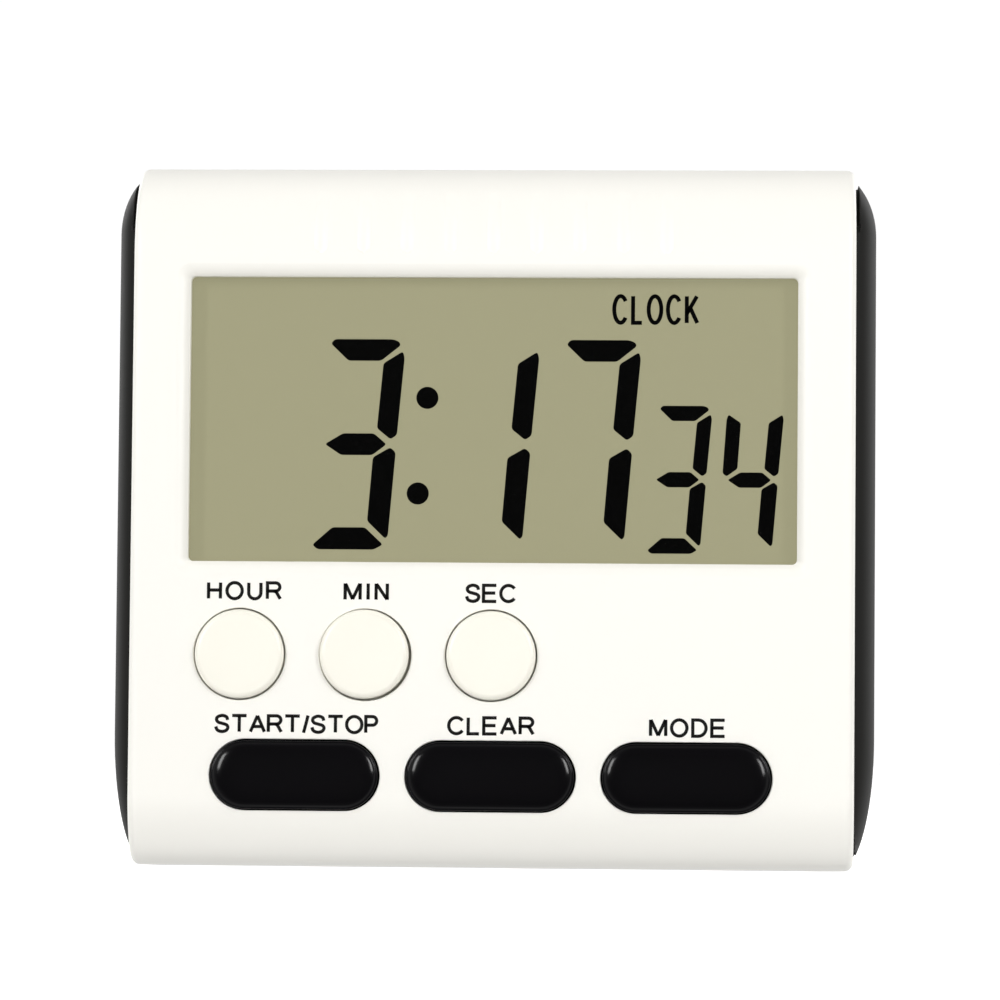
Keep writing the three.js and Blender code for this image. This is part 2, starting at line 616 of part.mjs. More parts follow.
/** Everything that is open to the back. */
function housingCuts() {
  const rear = BODY_DEPTH + PAST;
  let cuts = block(BAY.left, BAY.right, BAY.floor, rear, BAY.low, BAY.high);
  const rim = COVER.half + COVER.gap;
  cuts = cuts.add(block(-rim, rim, COVER.front - 2 * TOUCH, rear,
    COVER.low - COVER.gap, COVER.high + COVER.gap));
  cuts = cuts.add(block(-RECESS.half, RECESS.half, RECESS.floor, rear, RECESS.low, RECESS.high));
  const pinHole = crossBar(STAND_PIN.hole, 2 * (RECESS.half + STAND_PIN.holeReach), MEDIUM);
  cuts = cuts.add(pinHole.translate([0, STAND.depth, STAND.axis]));
  for (const x of [-MAGNET.x, MAGNET.x]) {
    const depth = BODY_DEPTH - MAGNET.recess - MAGNET.thickness - MAGNET.gap;
    cuts = cuts.add(bar(x, MAGNET.z, MAGNET.radius + MAGNET.gap, depth, rear, FINE));
  }
  const { bore, clearance, clearanceFront } = HOUSING_BOSS;
  for (const [x, z] of HOUSING_SCREWS) {
    cuts = cuts.add(bar(x, z, bore, SCREW_SEAT, rear, MEDIUM));
    cuts = cuts.add(bar(x, z, clearance, clearanceFront, SCREW_SEAT + OVERLAP, MEDIUM));
  }

  // The sound holes: one in the middle and a ring round it.
  cuts = cuts.add(bar(BUZZER.x, BUZZER.z, BUZZER.hole, BUZZER.back, rear, SMALL));
  for (let i = 0; i < BUZZER.holes; i += 1) {
    const angle = ((i + 1) * 2 * Math.PI) / BUZZER.holes;
    const x = BUZZER.x + BUZZER.holeRing * Math.cos(angle);
    const z = BUZZER.z + BUZZER.holeRing * Math.sin(angle);
    cuts = cuts.add(bar(x, z, BUZZER.hole, BUZZER.back, rear, SMALL));
  }

  // Slots in the bay's lower wall for the contacts' solder tabs.
  const { slot, front, back } = CONTACT_TAB;
  for (const x of [BAY.left + slot, BAY.right - slot]) {
    cuts = cuts.add(block(x - slot, x + slot, front - GAP, back + GAP,
      BAY.low - 2 * PAST, BAY.low + 2 * TOUCH));
  }
  return cuts.add(keyholeCut());
}

function makeRearHousing() {
  const edge = { width: HOUSING_EDGE.width, depth: HOUSING_EDGE.depth, steps: BEND_STEPS };
  let housing = plate(housingOutline(), HOUSING_FRONT, BODY_DEPTH, edge);
  housing = housing.subtract(shellClearance());
  const hollow = roundedRectangle(-CAVITY.half, CAVITY.half, CAVITY.low, CAVITY.high, CAVITY.corner);
  housing = housing.subtract(plate(hollow, 0, BACK_INSIDE));
  return housing.add(housingInside()).subtract(housingCuts());
}

addPiece('rear_housing', makeRearHousing(), HOUSING_BLACK);

// ---------------------------------------------------------------- battery, contacts and cover

const cellProfile = [
  [0, CELL.left],
  [CELL.radius - 0.5, CELL.left],
  [CELL.radius, CELL.left + 0.5],
  [CELL.radius, CELL.right - 0.5],
  [CELL.radius - 0.5, CELL.right],
  [CELL.nubRadius, CELL.right],
  [CELL.nubRadius, CELL.right + CELL.nub],
  [0, CELL.right + CELL.nub],
];
const cellGeometry = new THREE.LatheGeometry(cellProfile.map(([r, x]) => new THREE.Vector2(r, x)), MEDIUM);
addPiece('battery_cell', toSolid(cellGeometry.rotateZ(-Math.PI / 2)), CELL_WRAP, CELL.x, CELL.depth, CELL.z);

function makeContact() {
  const half = CONTACT.thickness / 2;
  const leaf = block(-half, half, CONTACT.front, CONTACT.back, CONTACT.low, CONTACT.high);
  return leaf.add(block(-half, half, CONTACT_TAB.front, CONTACT_TAB.back,
    CONTACT_TAB.low, CONTACT.low + OVERLAP));
}

const contact = makeContact();
addPiece('positive_contact', contact, NICKEL, POSITIVE_X);
addPiece('negative_contact', contact, NICKEL, NEGATIVE_X);

/** A conical coil along x, wide at its foot. */
class ConeCoil extends THREE.Curve {
  constructor(left, right, footRadius, tipRadius, turns) {
    super();
    Object.assign(this, { left, right, footRadius, tipRadius, turns });
  }

  getPoint(t) {
    const angle = 2 * Math.PI * this.turns * t;
    const radius = this.footRadius + (this.tipRadius - this.footRadius) * t;
    return new THREE.Vector3(
      this.left + (this.right - this.left) * t,
      CELL.depth + radius * Math.cos(angle),
      CELL.z + radius * Math.sin(angle),
    );
  }
}

const springFoot = NEGATIVE_X + CONTACT.thickness / 2 + SPRING.wire + SPRING.gap;
const springTip = CELL.left - SPRING.wire - SPRING.gap;
const coil = new ConeCoil(springFoot, springTip, SPRING.footRadius, SPRING.tipRadius, SPRING.turns);
addPiece('negative_spring', wire(coil, SPRING.wire, SPRING.steps), NICKEL);

function makeCover() {
  const { half, low, high, front, back, corner } = COVER;
  const rib = COVER_RIB;
  let cover = plate(roundedRectangle(-half, half, low, high, corner), front, back);
  for (const z of [BAY.low + rib.inset, BAY.high - rib.inset]) {
    cover = cover.add(block(BAY.left + rib.ends, BAY.right - rib.ends, front - rib.reach, front + OVERLAP,
      z - rib.half, z + rib.half));
  }

  // The latch tongue: two saw cuts free it, and a shallow hollow takes the fingertip.
  for (const z of [CELL.z - LATCH.cut, CELL.z + LATCH.cut]) {
    cover = cover.subtract(block(half - LATCH.length, half + PAST, front - PAST, back + PAST,
      z - LATCH.halfCut, z + LATCH.halfCut));
  }
  const { outer, inner, half: reach, depth } = FINGERTIP;
  return cover.subtract(block(half - inner, half - outer, BODY_DEPTH - depth, back + PAST,
    CELL.z - reach, CELL.z + reach));
}

addPiece('battery_cover', makeCover(), HOUSING_BLACK);

// ---------------------------------------------------------------- buzzer, magnets and stand

const disc = bar(0, 0, BUZZER.radius, BUZZER_DISC.front, BUZZER_DISC.back, FINE);
const ceramic = bar(0, 0, BUZZER_CERAMIC.radius, 0, BUZZER_CERAMIC.back, MEDIUM);
addPiece('buzzer_disc', disc, BRASS, BUZZER.x, BUZZER.front, BUZZER.z);
addPiece('buzzer_ceramic', ceramic, CERAMIC, BUZZER.x, BUZZER.front, BUZZER.z);

const magnet = bar(0, 0, MAGNET.radius, -MAGNET.thickness, 0, FINE);
addPiece('magnet_left', magnet, NICKEL, -MAGNET.x, BODY_DEPTH - MAGNET.recess, MAGNET.z);
addPiece('magnet_right', magnet, NICKEL, MAGNET.x, BODY_DEPTH - MAGNET.recess, MAGNET.z);

/** The fold-out stand, drawn folded, with its hinge line at its own origin. */
function makeStand() {
  const { half, low, axis, depth, front, back, heel } = STAND;
  const [inner, outer] = [front - depth, back - depth];
  const foot = low - axis;
  let stand = plate(roundedRectangle(-half, half, foot, 0, STAND_CORNER), inner, outer);
  stand = stand.add(block(-half, half, inner, outer, foot / 2, 0));
  stand = stand.add(crossBar(outer, 2 * half, MEDIUM));
  stand = stand.add(block(-half, half, STAND_HEEL_FRONT, outer, 0, heel));
  stand = stand.add(crossBar(STAND_PIN.radius, 2 * (half + STAND_PIN.reach), MEDIUM));
  const { radius, below } = STAND_NOTCH;
  return stand.subtract(bar(0, foot - below, radius, inner - PAST, outer + PAST, MEDIUM));
}

addPiece('stand', makeStand(), HOUSING_BLACK, 0, STAND.depth, STAND.axis);

// ---------------------------------------------------------------- wires

/** A lead along a smooth curve through its points, each one x, depth and z. */
function addLead(name, points, look) {
  const route = new THREE.CatmullRomCurve3(points.map((p) => new THREE.Vector3(...p)));
  addPiece(name, wire(route, WIRE_RADIUS, LEAD_STEPS), look);
}

addLead('battery_lead_positive', [
  [POSITIVE_X, 11.8, CONTACT_TAB.low - LEAD_DROP],
  [POSITIVE_X - 0.2, 11.2, 39.6],
  [22, 9.6, 37.4],
  [20.5, SOLDER_DEPTH, 35],
  [20, SOLDER_DEPTH, 32.5],
], RED_WIRE);
addLead('battery_lead_negative', [
  [NEGATIVE_X, 11.8, CONTACT_TAB.low - LEAD_DROP],
  [NEGATIVE_X + 0.2, 11.2, 39.6],
  [-24, 9.6, 37.4],
  [-22.5, SOLDER_DEPTH, 35],
  [-22, SOLDER_DEPTH, 32.5],
], BLACK_WIRE);
addLead('buzzer_lead_live', [
  [-22.5, 14.5, 19],
  [-20, 13.2, 20.8],
  [-17.5, 10.8, 22.6],
  [-15.5, SOLDER_DEPTH, 24],
  [-13, SOLDER_DEPTH, 24.6],
], RED_WIRE);
addLead('buzzer_lead_return', [
  [-20.5, 14.5, 14.5],
  [-18.8, 13, 16],
  [-16.4, 10.8, 18],
  [-14, SOLDER_DEPTH, 19.6],
  [-11, SOLDER_DEPTH, 20],
], BLACK_WIRE);

export default timer;
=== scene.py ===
import math

import bmesh
import bpy
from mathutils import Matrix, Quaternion, Vector


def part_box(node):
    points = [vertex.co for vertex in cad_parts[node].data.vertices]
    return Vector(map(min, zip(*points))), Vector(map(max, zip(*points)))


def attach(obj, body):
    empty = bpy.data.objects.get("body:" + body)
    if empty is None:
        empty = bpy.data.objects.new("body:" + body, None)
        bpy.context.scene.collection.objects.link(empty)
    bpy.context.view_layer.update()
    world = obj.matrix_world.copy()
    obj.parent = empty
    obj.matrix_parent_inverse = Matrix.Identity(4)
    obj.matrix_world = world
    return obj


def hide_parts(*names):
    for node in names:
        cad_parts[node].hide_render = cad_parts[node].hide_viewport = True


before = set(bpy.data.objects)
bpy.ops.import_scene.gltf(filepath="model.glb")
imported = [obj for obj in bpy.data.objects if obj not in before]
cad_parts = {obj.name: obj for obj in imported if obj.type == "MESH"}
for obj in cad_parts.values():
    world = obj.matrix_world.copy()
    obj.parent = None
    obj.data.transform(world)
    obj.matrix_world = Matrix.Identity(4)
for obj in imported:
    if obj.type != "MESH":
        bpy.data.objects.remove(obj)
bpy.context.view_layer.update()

# ------------------------------------------------------------
# Camera, light and floor.
# The timer stands on white paper, seen square on from an arm's length. Two tall soft boxes light it from the
# sides and two square ones from behind, and a broad one in front fills the shadows. The room behind the
# camera is dim, so that polished black stays black.

MM = 0.001
shell_low, shell_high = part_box("front_shell")
FACE_Y = shell_low.y
HEIGHT = shell_high.z
CAMERA_DISTANCE = 450 * MM
CAMERA_LENS = 164.1
CAMERA_AZIMUTH = math.radians(3.0)
CAMERA_ELEVATION = math.radians(-3.2)
CAMERA_ROLL = math.radians(0.5)
AIM = Vector((0.85 * MM, FACE_Y, HEIGHT / 2 + 1.33 * MM))

camera = bpy.data.objects.new("camera", bpy.data.cameras.new("camera"))
bpy.context.scene.collection.objects.link(camera)
camera.data.sensor_width = 36
camera.data.lens = CAMERA_LENS
camera.data.clip_start = 0.01
outward = Vector((math.sin(CAMERA_AZIMUTH) * math.cos(CAMERA_ELEVATION),
                  -math.cos(CAMERA_AZIMUTH) * math.cos(CAMERA_ELEVATION), math.sin(CAMERA_ELEVATION)))
camera.location = AIM + CAMERA_DISTANCE * outward
camera.rotation_mode = "QUATERNION"
camera.rotation_quaternion = (-outward).to_track_quat("-Z", "Y") @ Quaternion((0, 0, 1), CAMERA_ROLL)
bpy.context.scene.camera = camera
bpy.context.scene.view_settings.view_transform = "Standard"
LIGHT_TARGET = Vector((0, 0, HEIGHT / 2))


def soft_box(name, place, size, watts):
    """A rectangular light that faces the middle of the timer."""
    light = bpy.data.lights.new(name, "AREA")
    light.shape = "RECTANGLE"
    light.size, light.size_y = size
    light.energy = watts
    box = bpy.data.objects.new(name, light)
    bpy.context.scene.collection.objects.link(box)
    box.location = place
    box.rotation_mode = "QUATERNION"
    box.rotation_quaternion = (LIGHT_TARGET - Vector(place)).to_track_quat("-Z", "Y")
    return box


soft_box("key_left", (-0.50, -0.56, 0.25), (0.12, 0.30), 2.6)
soft_box("key_right", (0.50, -0.56, 0.25), (0.12, 0.30), 2.6)
soft_box("back_left", (-0.50, 0.55, 0.35), (0.40, 0.40), 1.0)
soft_box("back_right", (0.50, 0.55, 0.35), (0.40, 0.40), 0.85)
front_fill = soft_box("front_fill", (0.0, -1.0, -0.05), (0.50, 0.50), 4.3)
front_fill.visible_glossy = False

world = bpy.data.worlds.new("room")
bpy.context.scene.world = world
world.use_nodes = True
sky = world.node_tree
direction = sky.nodes.new("ShaderNodeTexCoord")
towards_front = sky.nodes.new("ShaderNodeVectorMath")
towards_front.operation = "DOT_PRODUCT"
towards_front.inputs[1].default_value = (0, -1, 0)
upward = sky.nodes.new("ShaderNodeVectorMath")
upward.operation = "DOT_PRODUCT"
upward.inputs[1].default_value = (0, 0, 1)


def fade(value, start, end, first, last):
    """A soft change of brightness from one direction to another."""
    ramp = sky.nodes.new("ShaderNodeMapRange")
    ramp.interpolation_type = "SMOOTHSTEP"
    ramp.inputs["From Min"].default_value = start
    ramp.inputs["From Max"].default_value = end
    ramp.inputs["To Min"].default_value = first
    ramp.inputs["To Max"].default_value = last
    sky.links.new(value, ramp.inputs["Value"])
    return ramp.outputs["Result"]


ceiling = sky.nodes.new("ShaderNodeMath")
ceiling.operation = "MULTIPLY"
room = sky.nodes.new("ShaderNodeMath")
room.operation = "MULTIPLY"
sky.links.new(direction.outputs["Generated"], towards_front.inputs[0])
sky.links.new(direction.outputs["Generated"], upward.inputs[0])
sky.links.new(fade(towards_front.outputs["Value"], 0.30, 0.78, 1.10, 0.04), ceiling.inputs[0])
sky.links.new(fade(upward.outputs["Value"], 0.22, 0.85, 0.93, 0.50), ceiling.inputs[1])
sky.links.new(ceiling.outputs["Value"], room.inputs[0])
sky.links.new(fade(upward.outputs["Value"], -0.7, 0.0, 0.97, 1.0), room.inputs[1])
sky.links.new(room.outputs["Value"], sky.nodes["Background"].inputs["Color"])
sky.nodes["Background"].inputs["Strength"].default_value = 1.0


def add_mesh(name, points, faces, smooth=True):
    """A mesh object from its points, in metres, and its faces."""
    mesh = bpy.data.meshes.new(name)
    mesh.from_pydata(points, [], faces)
    build = bmesh.new()
    build.from_mesh(mesh)
    bmesh.ops.remove_doubles(build, verts=build.verts, dist=1e-7)
    bmesh.ops.recalc_face_normals(build, faces=build.faces)
    for face in build.faces:
        face.smooth = smooth
    build.to_mesh(mesh)
    build.free()
    piece = bpy.data.objects.new(name, mesh)
    bpy.context.scene.collection.objects.link(piece)
    return piece


FLOOR_HALF = 6.0
FLOOR_DROP = 0.2 * MM
floor_corners = [(x * FLOOR_HALF, y * FLOOR_HALF, -FLOOR_DROP)
                 for x, y in ((-1, -1), (1, -1), (1, 1), (-1, 1))]
floor = add_mesh("floor", floor_corners, [(0, 1, 2, 3)], smooth=False)
paper = bpy.data.materials.new("pale_paper")
paper.use_nodes = True
paper_surface = paper.node_tree.nodes["Principled BSDF"]
paper_surface.inputs["Base Color"].default_value = (0.86, 0.86, 0.85, 1)
paper_surface.inputs["Roughness"].default_value = 0.9
paper_surface.inputs["Specular IOR Level"].default_value = 0.1
paper_surface.inputs["Emission Color"].default_value = (1, 1, 1, 1)
paper_surface.inputs["Emission Strength"].default_value = 0.65
floor.data.materials.append(paper)
floor.visible_glossy = False
floor.visible_diffuse = False

# ------------------------------------------------------------
# Front shell.
# One injection moulding in warm white ABS, an even wall bent back over the top and under the base. It is
# satin, with its openings cut square through the wall, and four screws from behind pull it onto the housing.

SHELL_HALF = shell_high.x
SHELL_WRAP = shell_high.y - FACE_Y
SHELL_WALL = 1.6 * MM
SHELL_EDGE = 0.8 * MM
EDGE_STEPS = 6
TOP_BEND = Vector((7.5 * MM, 9.6 * MM))
BASE_BEND = Vector((5.0 * MM, 7.2 * MM))
BEND_STEPS = 28


def quarter_turns(steps):
    """Even angles from nothing to a right angle."""
    return [math.pi / 2 * step / steps for step in range(steps + 1)]


def bend_path(inset, rear):
    """The shell's side view as (depth, z) points from the base's rear edge round to the top's rear edge."""
    path = [(rear, inset)]
    for turn in quarter_turns(BEND_STEPS):
        path.append((BASE_BEND.x - (BASE_BEND.x - inset) * math.sin(turn),
                     BASE_BEND.y - (BASE_BEND.y - inset) * math.cos(turn)))
    for turn in quarter_turns(BEND_STEPS):
        path.append((TOP_BEND.x - (TOP_BEND.x - inset) * math.cos(turn),
                     HEIGHT - TOP_BEND.y + (TOP_BEND.y - inset) * math.sin(turn)))
    return path + [(rear, HEIGHT - inset)]


def skin(rings, capped=True):
    """Faces that join rings of equal length, in order, with an end face on the first and last."""
    count = len(rings[0])
    points = [point for ring in rings for point in ring]
    faces = []
    for row in range(len(rings) - 1):
        for i in range(count):
            j = (i + 1) % count
            faces.append((row * count + i, row * count + j, (row + 1) * count + j, (row + 1) * count + i))
    if capped:
        faces.append(tuple(range(count))[::-1])
        faces.append(tuple(range((len(rings) - 1) * count, len(rings) * count)))
    return points, faces


def make_shell_blank():
    """The bent band, with its long side edges rounded."""
    stations = [(SHELL_HALF - SHELL_EDGE + SHELL_EDGE * math.sin(turn), SHELL_EDGE * (1 - math.cos(turn)))
                for turn in quarter_turns(EDGE_STEPS)]
    stations = [(-x, inset) for x, inset in reversed(stations)] + stations
    rings = []
    for x, inset in stations:
        outer = bend_path(inset, SHELL_WRAP)
        inner = bend_path(SHELL_WALL, SHELL_WRAP)
        rings.append([(x, FACE_Y + d, z) for d, z in outer + inner[::-1]])
    points, faces = skin(rings, capped=False)
    count = len(rings[0])
    half = count // 2
    for start in (0, (len(rings) - 1) * count):
        for i in range(half - 1):
            faces.append((start + i, start + i + 1, start + count - 2 - i, start + count - 1 - i))
    return add_mesh("front_shell_moulding", points, faces)


def rounded_outline(left, right, low, high, radius, steps=12):
    """A rectangle with round corners, as (x, z) points."""
    outline = []
    corners = ((right, low, -90), (right, high, 0), (left, high, 90), (left, low, 180))
    for x, z, start in corners:
        cx = x - radius if x == right else x + radius
        cz = z - radius if z == high else z + radius
        for step in range(steps + 1):
            turn = math.radians(start + 90 * step / steps)
            outline.append((cx + radius * math.cos(turn), cz + radius * math.sin(turn)))
    return outline


def round_outline(x, z, radius, steps=96):
    return [(x + radius * math.cos(2 * math.pi * i / steps), z + radius * math.sin(2 * math.pi * i / steps))
            for i in range(steps)]


def at_depth(outline, depth):
    return [(x, FACE_Y + depth, z) for x, z in outline]


def merge(*meshes):
    """Several (points, faces) pairs as one."""
    points, faces = [], []
    for more_points, more_faces in meshes:
        faces += [tuple(i + len(points) for i in face) for face in more_faces]
        points += more_points
    return points, faces


def through(outline, front, back):
    """A straight cutter or block with that outline, from one depth to another."""
    return skin([at_depth(outline, front), at_depth(outline, back)])


def combine(piece, parts, operation):
    """Cuts the parts out of the piece, or joins them to it, and keeps only the result."""
    tool = add_mesh("tool", *parts, smooth=False)
    change = piece.modifiers.new("change", "BOOLEAN")
    change.operation = operation
    change.solver = "EXACT"
    change.object = tool
    view = bpy.context.evaluated_depsgraph_get()
    result = bpy.data.meshes.new_from_object(piece.evaluated_get(view))
    piece.modifiers.clear()
    old = piece.data
    piece.data = result
    bpy.data.meshes.remove(old)
    bpy.data.meshes.remove(tool.data)
    for face in piece.data.polygons:
        face.use_smooth = True


def soften(piece, width):
    """Rounds every edge of a moulding by a small radius, and keeps its flat faces flat."""
    edge = piece.modifiers.new("edge", "BEVEL")
    edge.width = width
    edge.segments = 2
    edge.limit_method = "ANGLE"
    edge.angle_limit = math.radians(22)
    edge.use_clamp_overlap = False
    edge.miter_outer = "MITER_ARC"
    shading = piece.modifiers.new("shading", "WEIGHTED_NORMAL")
    shading.weight = 60
    shading.keep_sharp = False


FLUTE_WIDTH = 1.4 * MM
FLUTE_DEPTH = 0.22 * MM
FLUTE_LOW = 60.8 * MM
FLUTE_HIGH = 67.2 * MM
FLUTE_PITCH = 4.29 * MM
FLUTE_RUN_OUT = 0.25
CUT_FRONT = -1 * MM
CUT_BACK = 3 * MM


def flute_cutter(x):
    """One shallow flute, hollow across, whose lower end is round and whose upper end runs out to nothing."""
    radius = FLUTE_WIDTH / 2
    bend_start = HEIGHT - TOP_BEND.y
    heights = [FLUTE_LOW + radius * (1 - math.cos(turn)) for turn in quarter_turns(10)]
    heights += [FLUTE_LOW + radius + (FLUTE_HIGH - FLUTE_LOW - radius) * i / 24 for i in range(1, 25)]
    rows = []
    for z in heights:
        below = max(FLUTE_LOW + radius - z, 0)
        half = max(math.sqrt(max(radius ** 2 - below ** 2, 0)), 0.03 * MM)
        fade_out = min((FLUTE_HIGH - z) / (FLUTE_RUN_OUT * (FLUTE_HIGH - FLUTE_LOW)), 1)
        hollow = FLUTE_DEPTH * fade_out * (half / radius) ** 0.5
        lift = max(z - bend_start, 0) / TOP_BEND.y
        face = FACE_Y + TOP_BEND.x * (1 - math.sqrt(1 - lift ** 2)) - 0.004 * MM
        row = [(x - half, face + CUT_FRONT, z), (x + half, face + CUT_FRONT, z)]
        for i in range(13):
            across = 1 - i / 6
            row.append((x + half * across, face + hollow * (1 - across ** 2), z))
        rows.append(row)
    return skin(rows)


OPENING_HALF = 30.15 * MM
OPENING_LOW = 30.15 * MM
OPENING_HIGH = 58.5 * MM
OPENING_CORNER = 0.5 * MM
SLOPE_WIDTH = 1.3 * MM
SLOPE_DEPTH = 0.8 * MM
SLOPE_STEPS = 12
MOUTH = 0.12 * MM
MOUTH_STEPS = 5
ROUND_CLEARANCE = 0.15 * MM
OBLONG_CLEARANCE = 0.17 * MM
FLANGE = 0.45 * MM
ROUND_BUTTONS = ["hour_button", "minute_button", "second_button"]
OBLONG_BUTTONS = ["start_stop_button", "clear_button", "mode_button"]


def key_size(node):
    """A button's middle x and z, and its half width and half height without the hidden flange."""
    low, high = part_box(node)
    return ((low.x + high.x) / 2, (low.z + high.z) / 2,
            (high.x - low.x) / 2 - FLANGE, (high.z - low.z) / 2 - FLANGE)


def stadium(x, z, half_length, half_height):
    return rounded_outline(x - half_length, x + half_length, z - half_height, z + half_height,
                           half_height * 0.9999, steps=32)


def opening_outline(grow, corner):
    """The display opening's outline, grown evenly on every side."""
    return rounded_outline(-OPENING_HALF - grow, OPENING_HALF + grow,
                           OPENING_LOW - grow, OPENING_HIGH + grow, corner)


def frame_outline(grow):
    return opening_outline(grow, OPENING_CORNER + 0.6 * grow)


def flared(outline):
    """A straight hole whose mouth is rounded where it meets the face; outline(grow) is its shape."""
    mouth = [at_depth(outline(2.2 * MOUTH), CUT_FRONT)]
    for turn in quarter_turns(MOUTH_STEPS):
        grow = max(MOUTH * (1 - math.sin(turn)), 2e-7)
        mouth.append(at_depth(outline(grow), MOUTH * (1 - math.cos(turn)) - 1e-6))
    return skin(mouth + [at_depth(outline(0), CUT_BACK)])


def shell_openings():
    """The window with its frame, which curves inwards, and the holes for the buttons and the flutes."""
    slope = [at_depth(frame_outline(SLOPE_WIDTH * 1.3), CUT_FRONT)]
    for step in range(SLOPE_STEPS + 1):
        part = step / SLOPE_STEPS
        fall = 0.35 * part + 0.65 * part ** 2.6
        slope.append(at_depth(frame_outline(SLOPE_WIDTH * (1 - part)), SLOPE_DEPTH * fall - 1e-6))
    cutters = [skin(slope + [at_depth(frame_outline(0), CUT_BACK)])]
    for name in ROUND_BUTTONS:
        x, z, radius, _ = key_size(name)
        cutters.append(flared(lambda grow: round_outline(x, z, radius + ROUND_CLEARANCE + grow)))
    for name in OBLONG_BUTTONS:
        x, z, half_length, half_height = key_size(name)
        cutters.append(flared(lambda grow: stadium(x, z, half_length + OBLONG_CLEARANCE + grow,
                                                   half_height + OBLONG_CLEARANCE + grow)))
    for i in range(-4, 5):
        cutters.append(flute_cutter(i * FLUTE_PITCH))
    return merge(*cutters)


DRIFT_SCALE = 55
GRAIN_DEPTH = 0.02 * MM


def noise(tree, where, scale, detail):
    """A soft, uneven pattern over the piece."""
    pattern = tree.nodes.new("ShaderNodeTexNoise")
    pattern.inputs["Scale"].default_value = scale
    pattern.inputs["Detail"].default_value = detail
    tree.links.new(where, pattern.inputs["Vector"])
    return pattern.outputs["Fac"]


def two_colours(tree, pattern, first, second):
    """Colours the surface with a blend of two colours that follows a pattern."""
    blend = tree.nodes.new("ShaderNodeMix")
    blend.data_type = "RGBA"
    blend.inputs[6].default_value = (*first, 1)
    blend.inputs[7].default_value = (*second, 1)
    tree.links.new(pattern, blend.inputs[0])
    tree.links.new(blend.outputs[2], tree.nodes["Principled BSDF"].inputs["Base Color"])


def texture(tree, pattern, smoothest, roughest, strength, depth):
    """Varies the polish of the surface by a pattern, and raises it a little."""
    surface = tree.nodes["Principled BSDF"]
    polish = tree.nodes.new("ShaderNodeMapRange")
    polish.inputs["To Min"].default_value = smoothest
    polish.inputs["To Max"].default_value = roughest
    bump = tree.nodes.new("ShaderNodeBump")
    bump.inputs["Strength"].default_value = strength
    bump.inputs["Distance"].default_value = depth
    tree.links.new(pattern, polish.inputs["Value"])
    tree.links.new(polish.outputs["Result"], surface.inputs["Roughness"])
    tree.links.new(pattern, bump.inputs["Height"])
    tree.links.new(bump.outputs["Normal"], surface.inputs["Normal"])


def moulded(name, colour, roughness, grain=0.05, grain_size=0.12, tint=0.03, coat=0.0, specular=0.5):
    """A moulded plastic: an even colour that drifts a little, over the fine grain of the mould's surface."""
    material = bpy.data.materials.new(name)
    material.use_nodes = True
    tree = material.node_tree
    surface = tree.nodes["Principled BSDF"]
    surface.inputs["Coat Weight"].default_value = coat
    surface.inputs["Specular IOR Level"].default_value = specular
    place = tree.nodes.new("ShaderNodeTexCoord").outputs["Object"]
    two_colours(tree, noise(tree, place, DRIFT_SCALE, 3), colour, [c * (1 - tint) for c in colour])
    speckle = noise(tree, place, 1 / (grain_size * MM), 2)
    texture(tree, speckle, roughness * 0.9, min(roughness * 1.12, 1), grain, GRAIN_DEPTH)
    return material


def dress(piece, material, body, slot, *nodes):
    """Gives a new piece its material and body and hides the solids it stands for. Its slot is not used."""
    piece.data.materials.clear()
    piece.data.materials.append(material)
    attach(piece, body)
    if nodes:
        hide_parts(*nodes)


white_abs = moulded("warm_white_abs", (0.90, 0.885, 0.83), 0.40, grain=0.10, grain_size=0.10, tint=0.015)
shell = make_shell_blank()


def middle_of(node):
    low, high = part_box(node)
    return (low.x + high.x) / 2, (low.z + high.z) / 2


def ring_post(x, z, outer, inner, front, back, blind):
    """A hollow post with a blind hole from behind."""
    out, bore = round_outline(x, z, outer, 32), round_outline(x, z, inner, 32)
    return skin([at_depth(out, front), at_depth(out, back), at_depth(bore, back), at_depth(bore, blind)])


LIP_MIDDLE = 33.4 * MM
LIP_HALF = 0.4 * MM
LIP_LOW = 9 * MM
LIP_HIGH = 60 * MM
LIP_BACK = 4 * MM
INSIDE_FRONT = 1.2 * MM
BOARD_POST = {"outer": 1.5 * MM, "inner": 0.85 * MM, "front": INSIDE_FRONT, "back": 6.95 * MM,
              "blind": 3.2 * MM}
BOSS = {"outer": 2.2 * MM, "inner": 1.2 * MM, "back": 9 * MM, "blind": 3.6 * MM}
TOP_BOSS_FRONT = 3.4 * MM
BASE_BOSS_FRONT = 1.9 * MM
board_posts = [middle_of(f"board_screw_{i}") for i in range(1, 6)]
housing_posts = [middle_of(f"housing_screw_{i}") for i in range(1, 5)]
inside = []
for x in (-LIP_MIDDLE, LIP_MIDDLE):
    outline = rounded_outline(x - LIP_HALF, x + LIP_HALF, LIP_LOW, LIP_HIGH, 0.1 * MM, 2)
    inside.append(through(outline, INSIDE_FRONT, LIP_BACK))
for x, z in board_posts:
    inside.append(ring_post(x, z, **BOARD_POST))
for x, z in housing_posts:
    front = TOP_BOSS_FRONT if z > HEIGHT / 2 else BASE_BOSS_FRONT
    inside.append(ring_post(x, z, front=front, **BOSS))
combine(shell, merge(*inside), "UNION")
combine(shell, shell_openings(), "DIFFERENCE")
shell.data.set_sharp_from_angle(angle=math.radians(28))
shading = shell.modifiers.new("shading", "WEIGHTED_NORMAL")
shading.keep_sharp = True
dress(shell, white_abs, "case", "white_shell", "front_shell")

# ------------------------------------------------------------
# Round buttons.
# Three cream polystyrene caps with a slight dome and a rounded rim, glossy from a polished mould. A flange
# behind the shell keeps each one in, and its stem rests on a silicone dome.

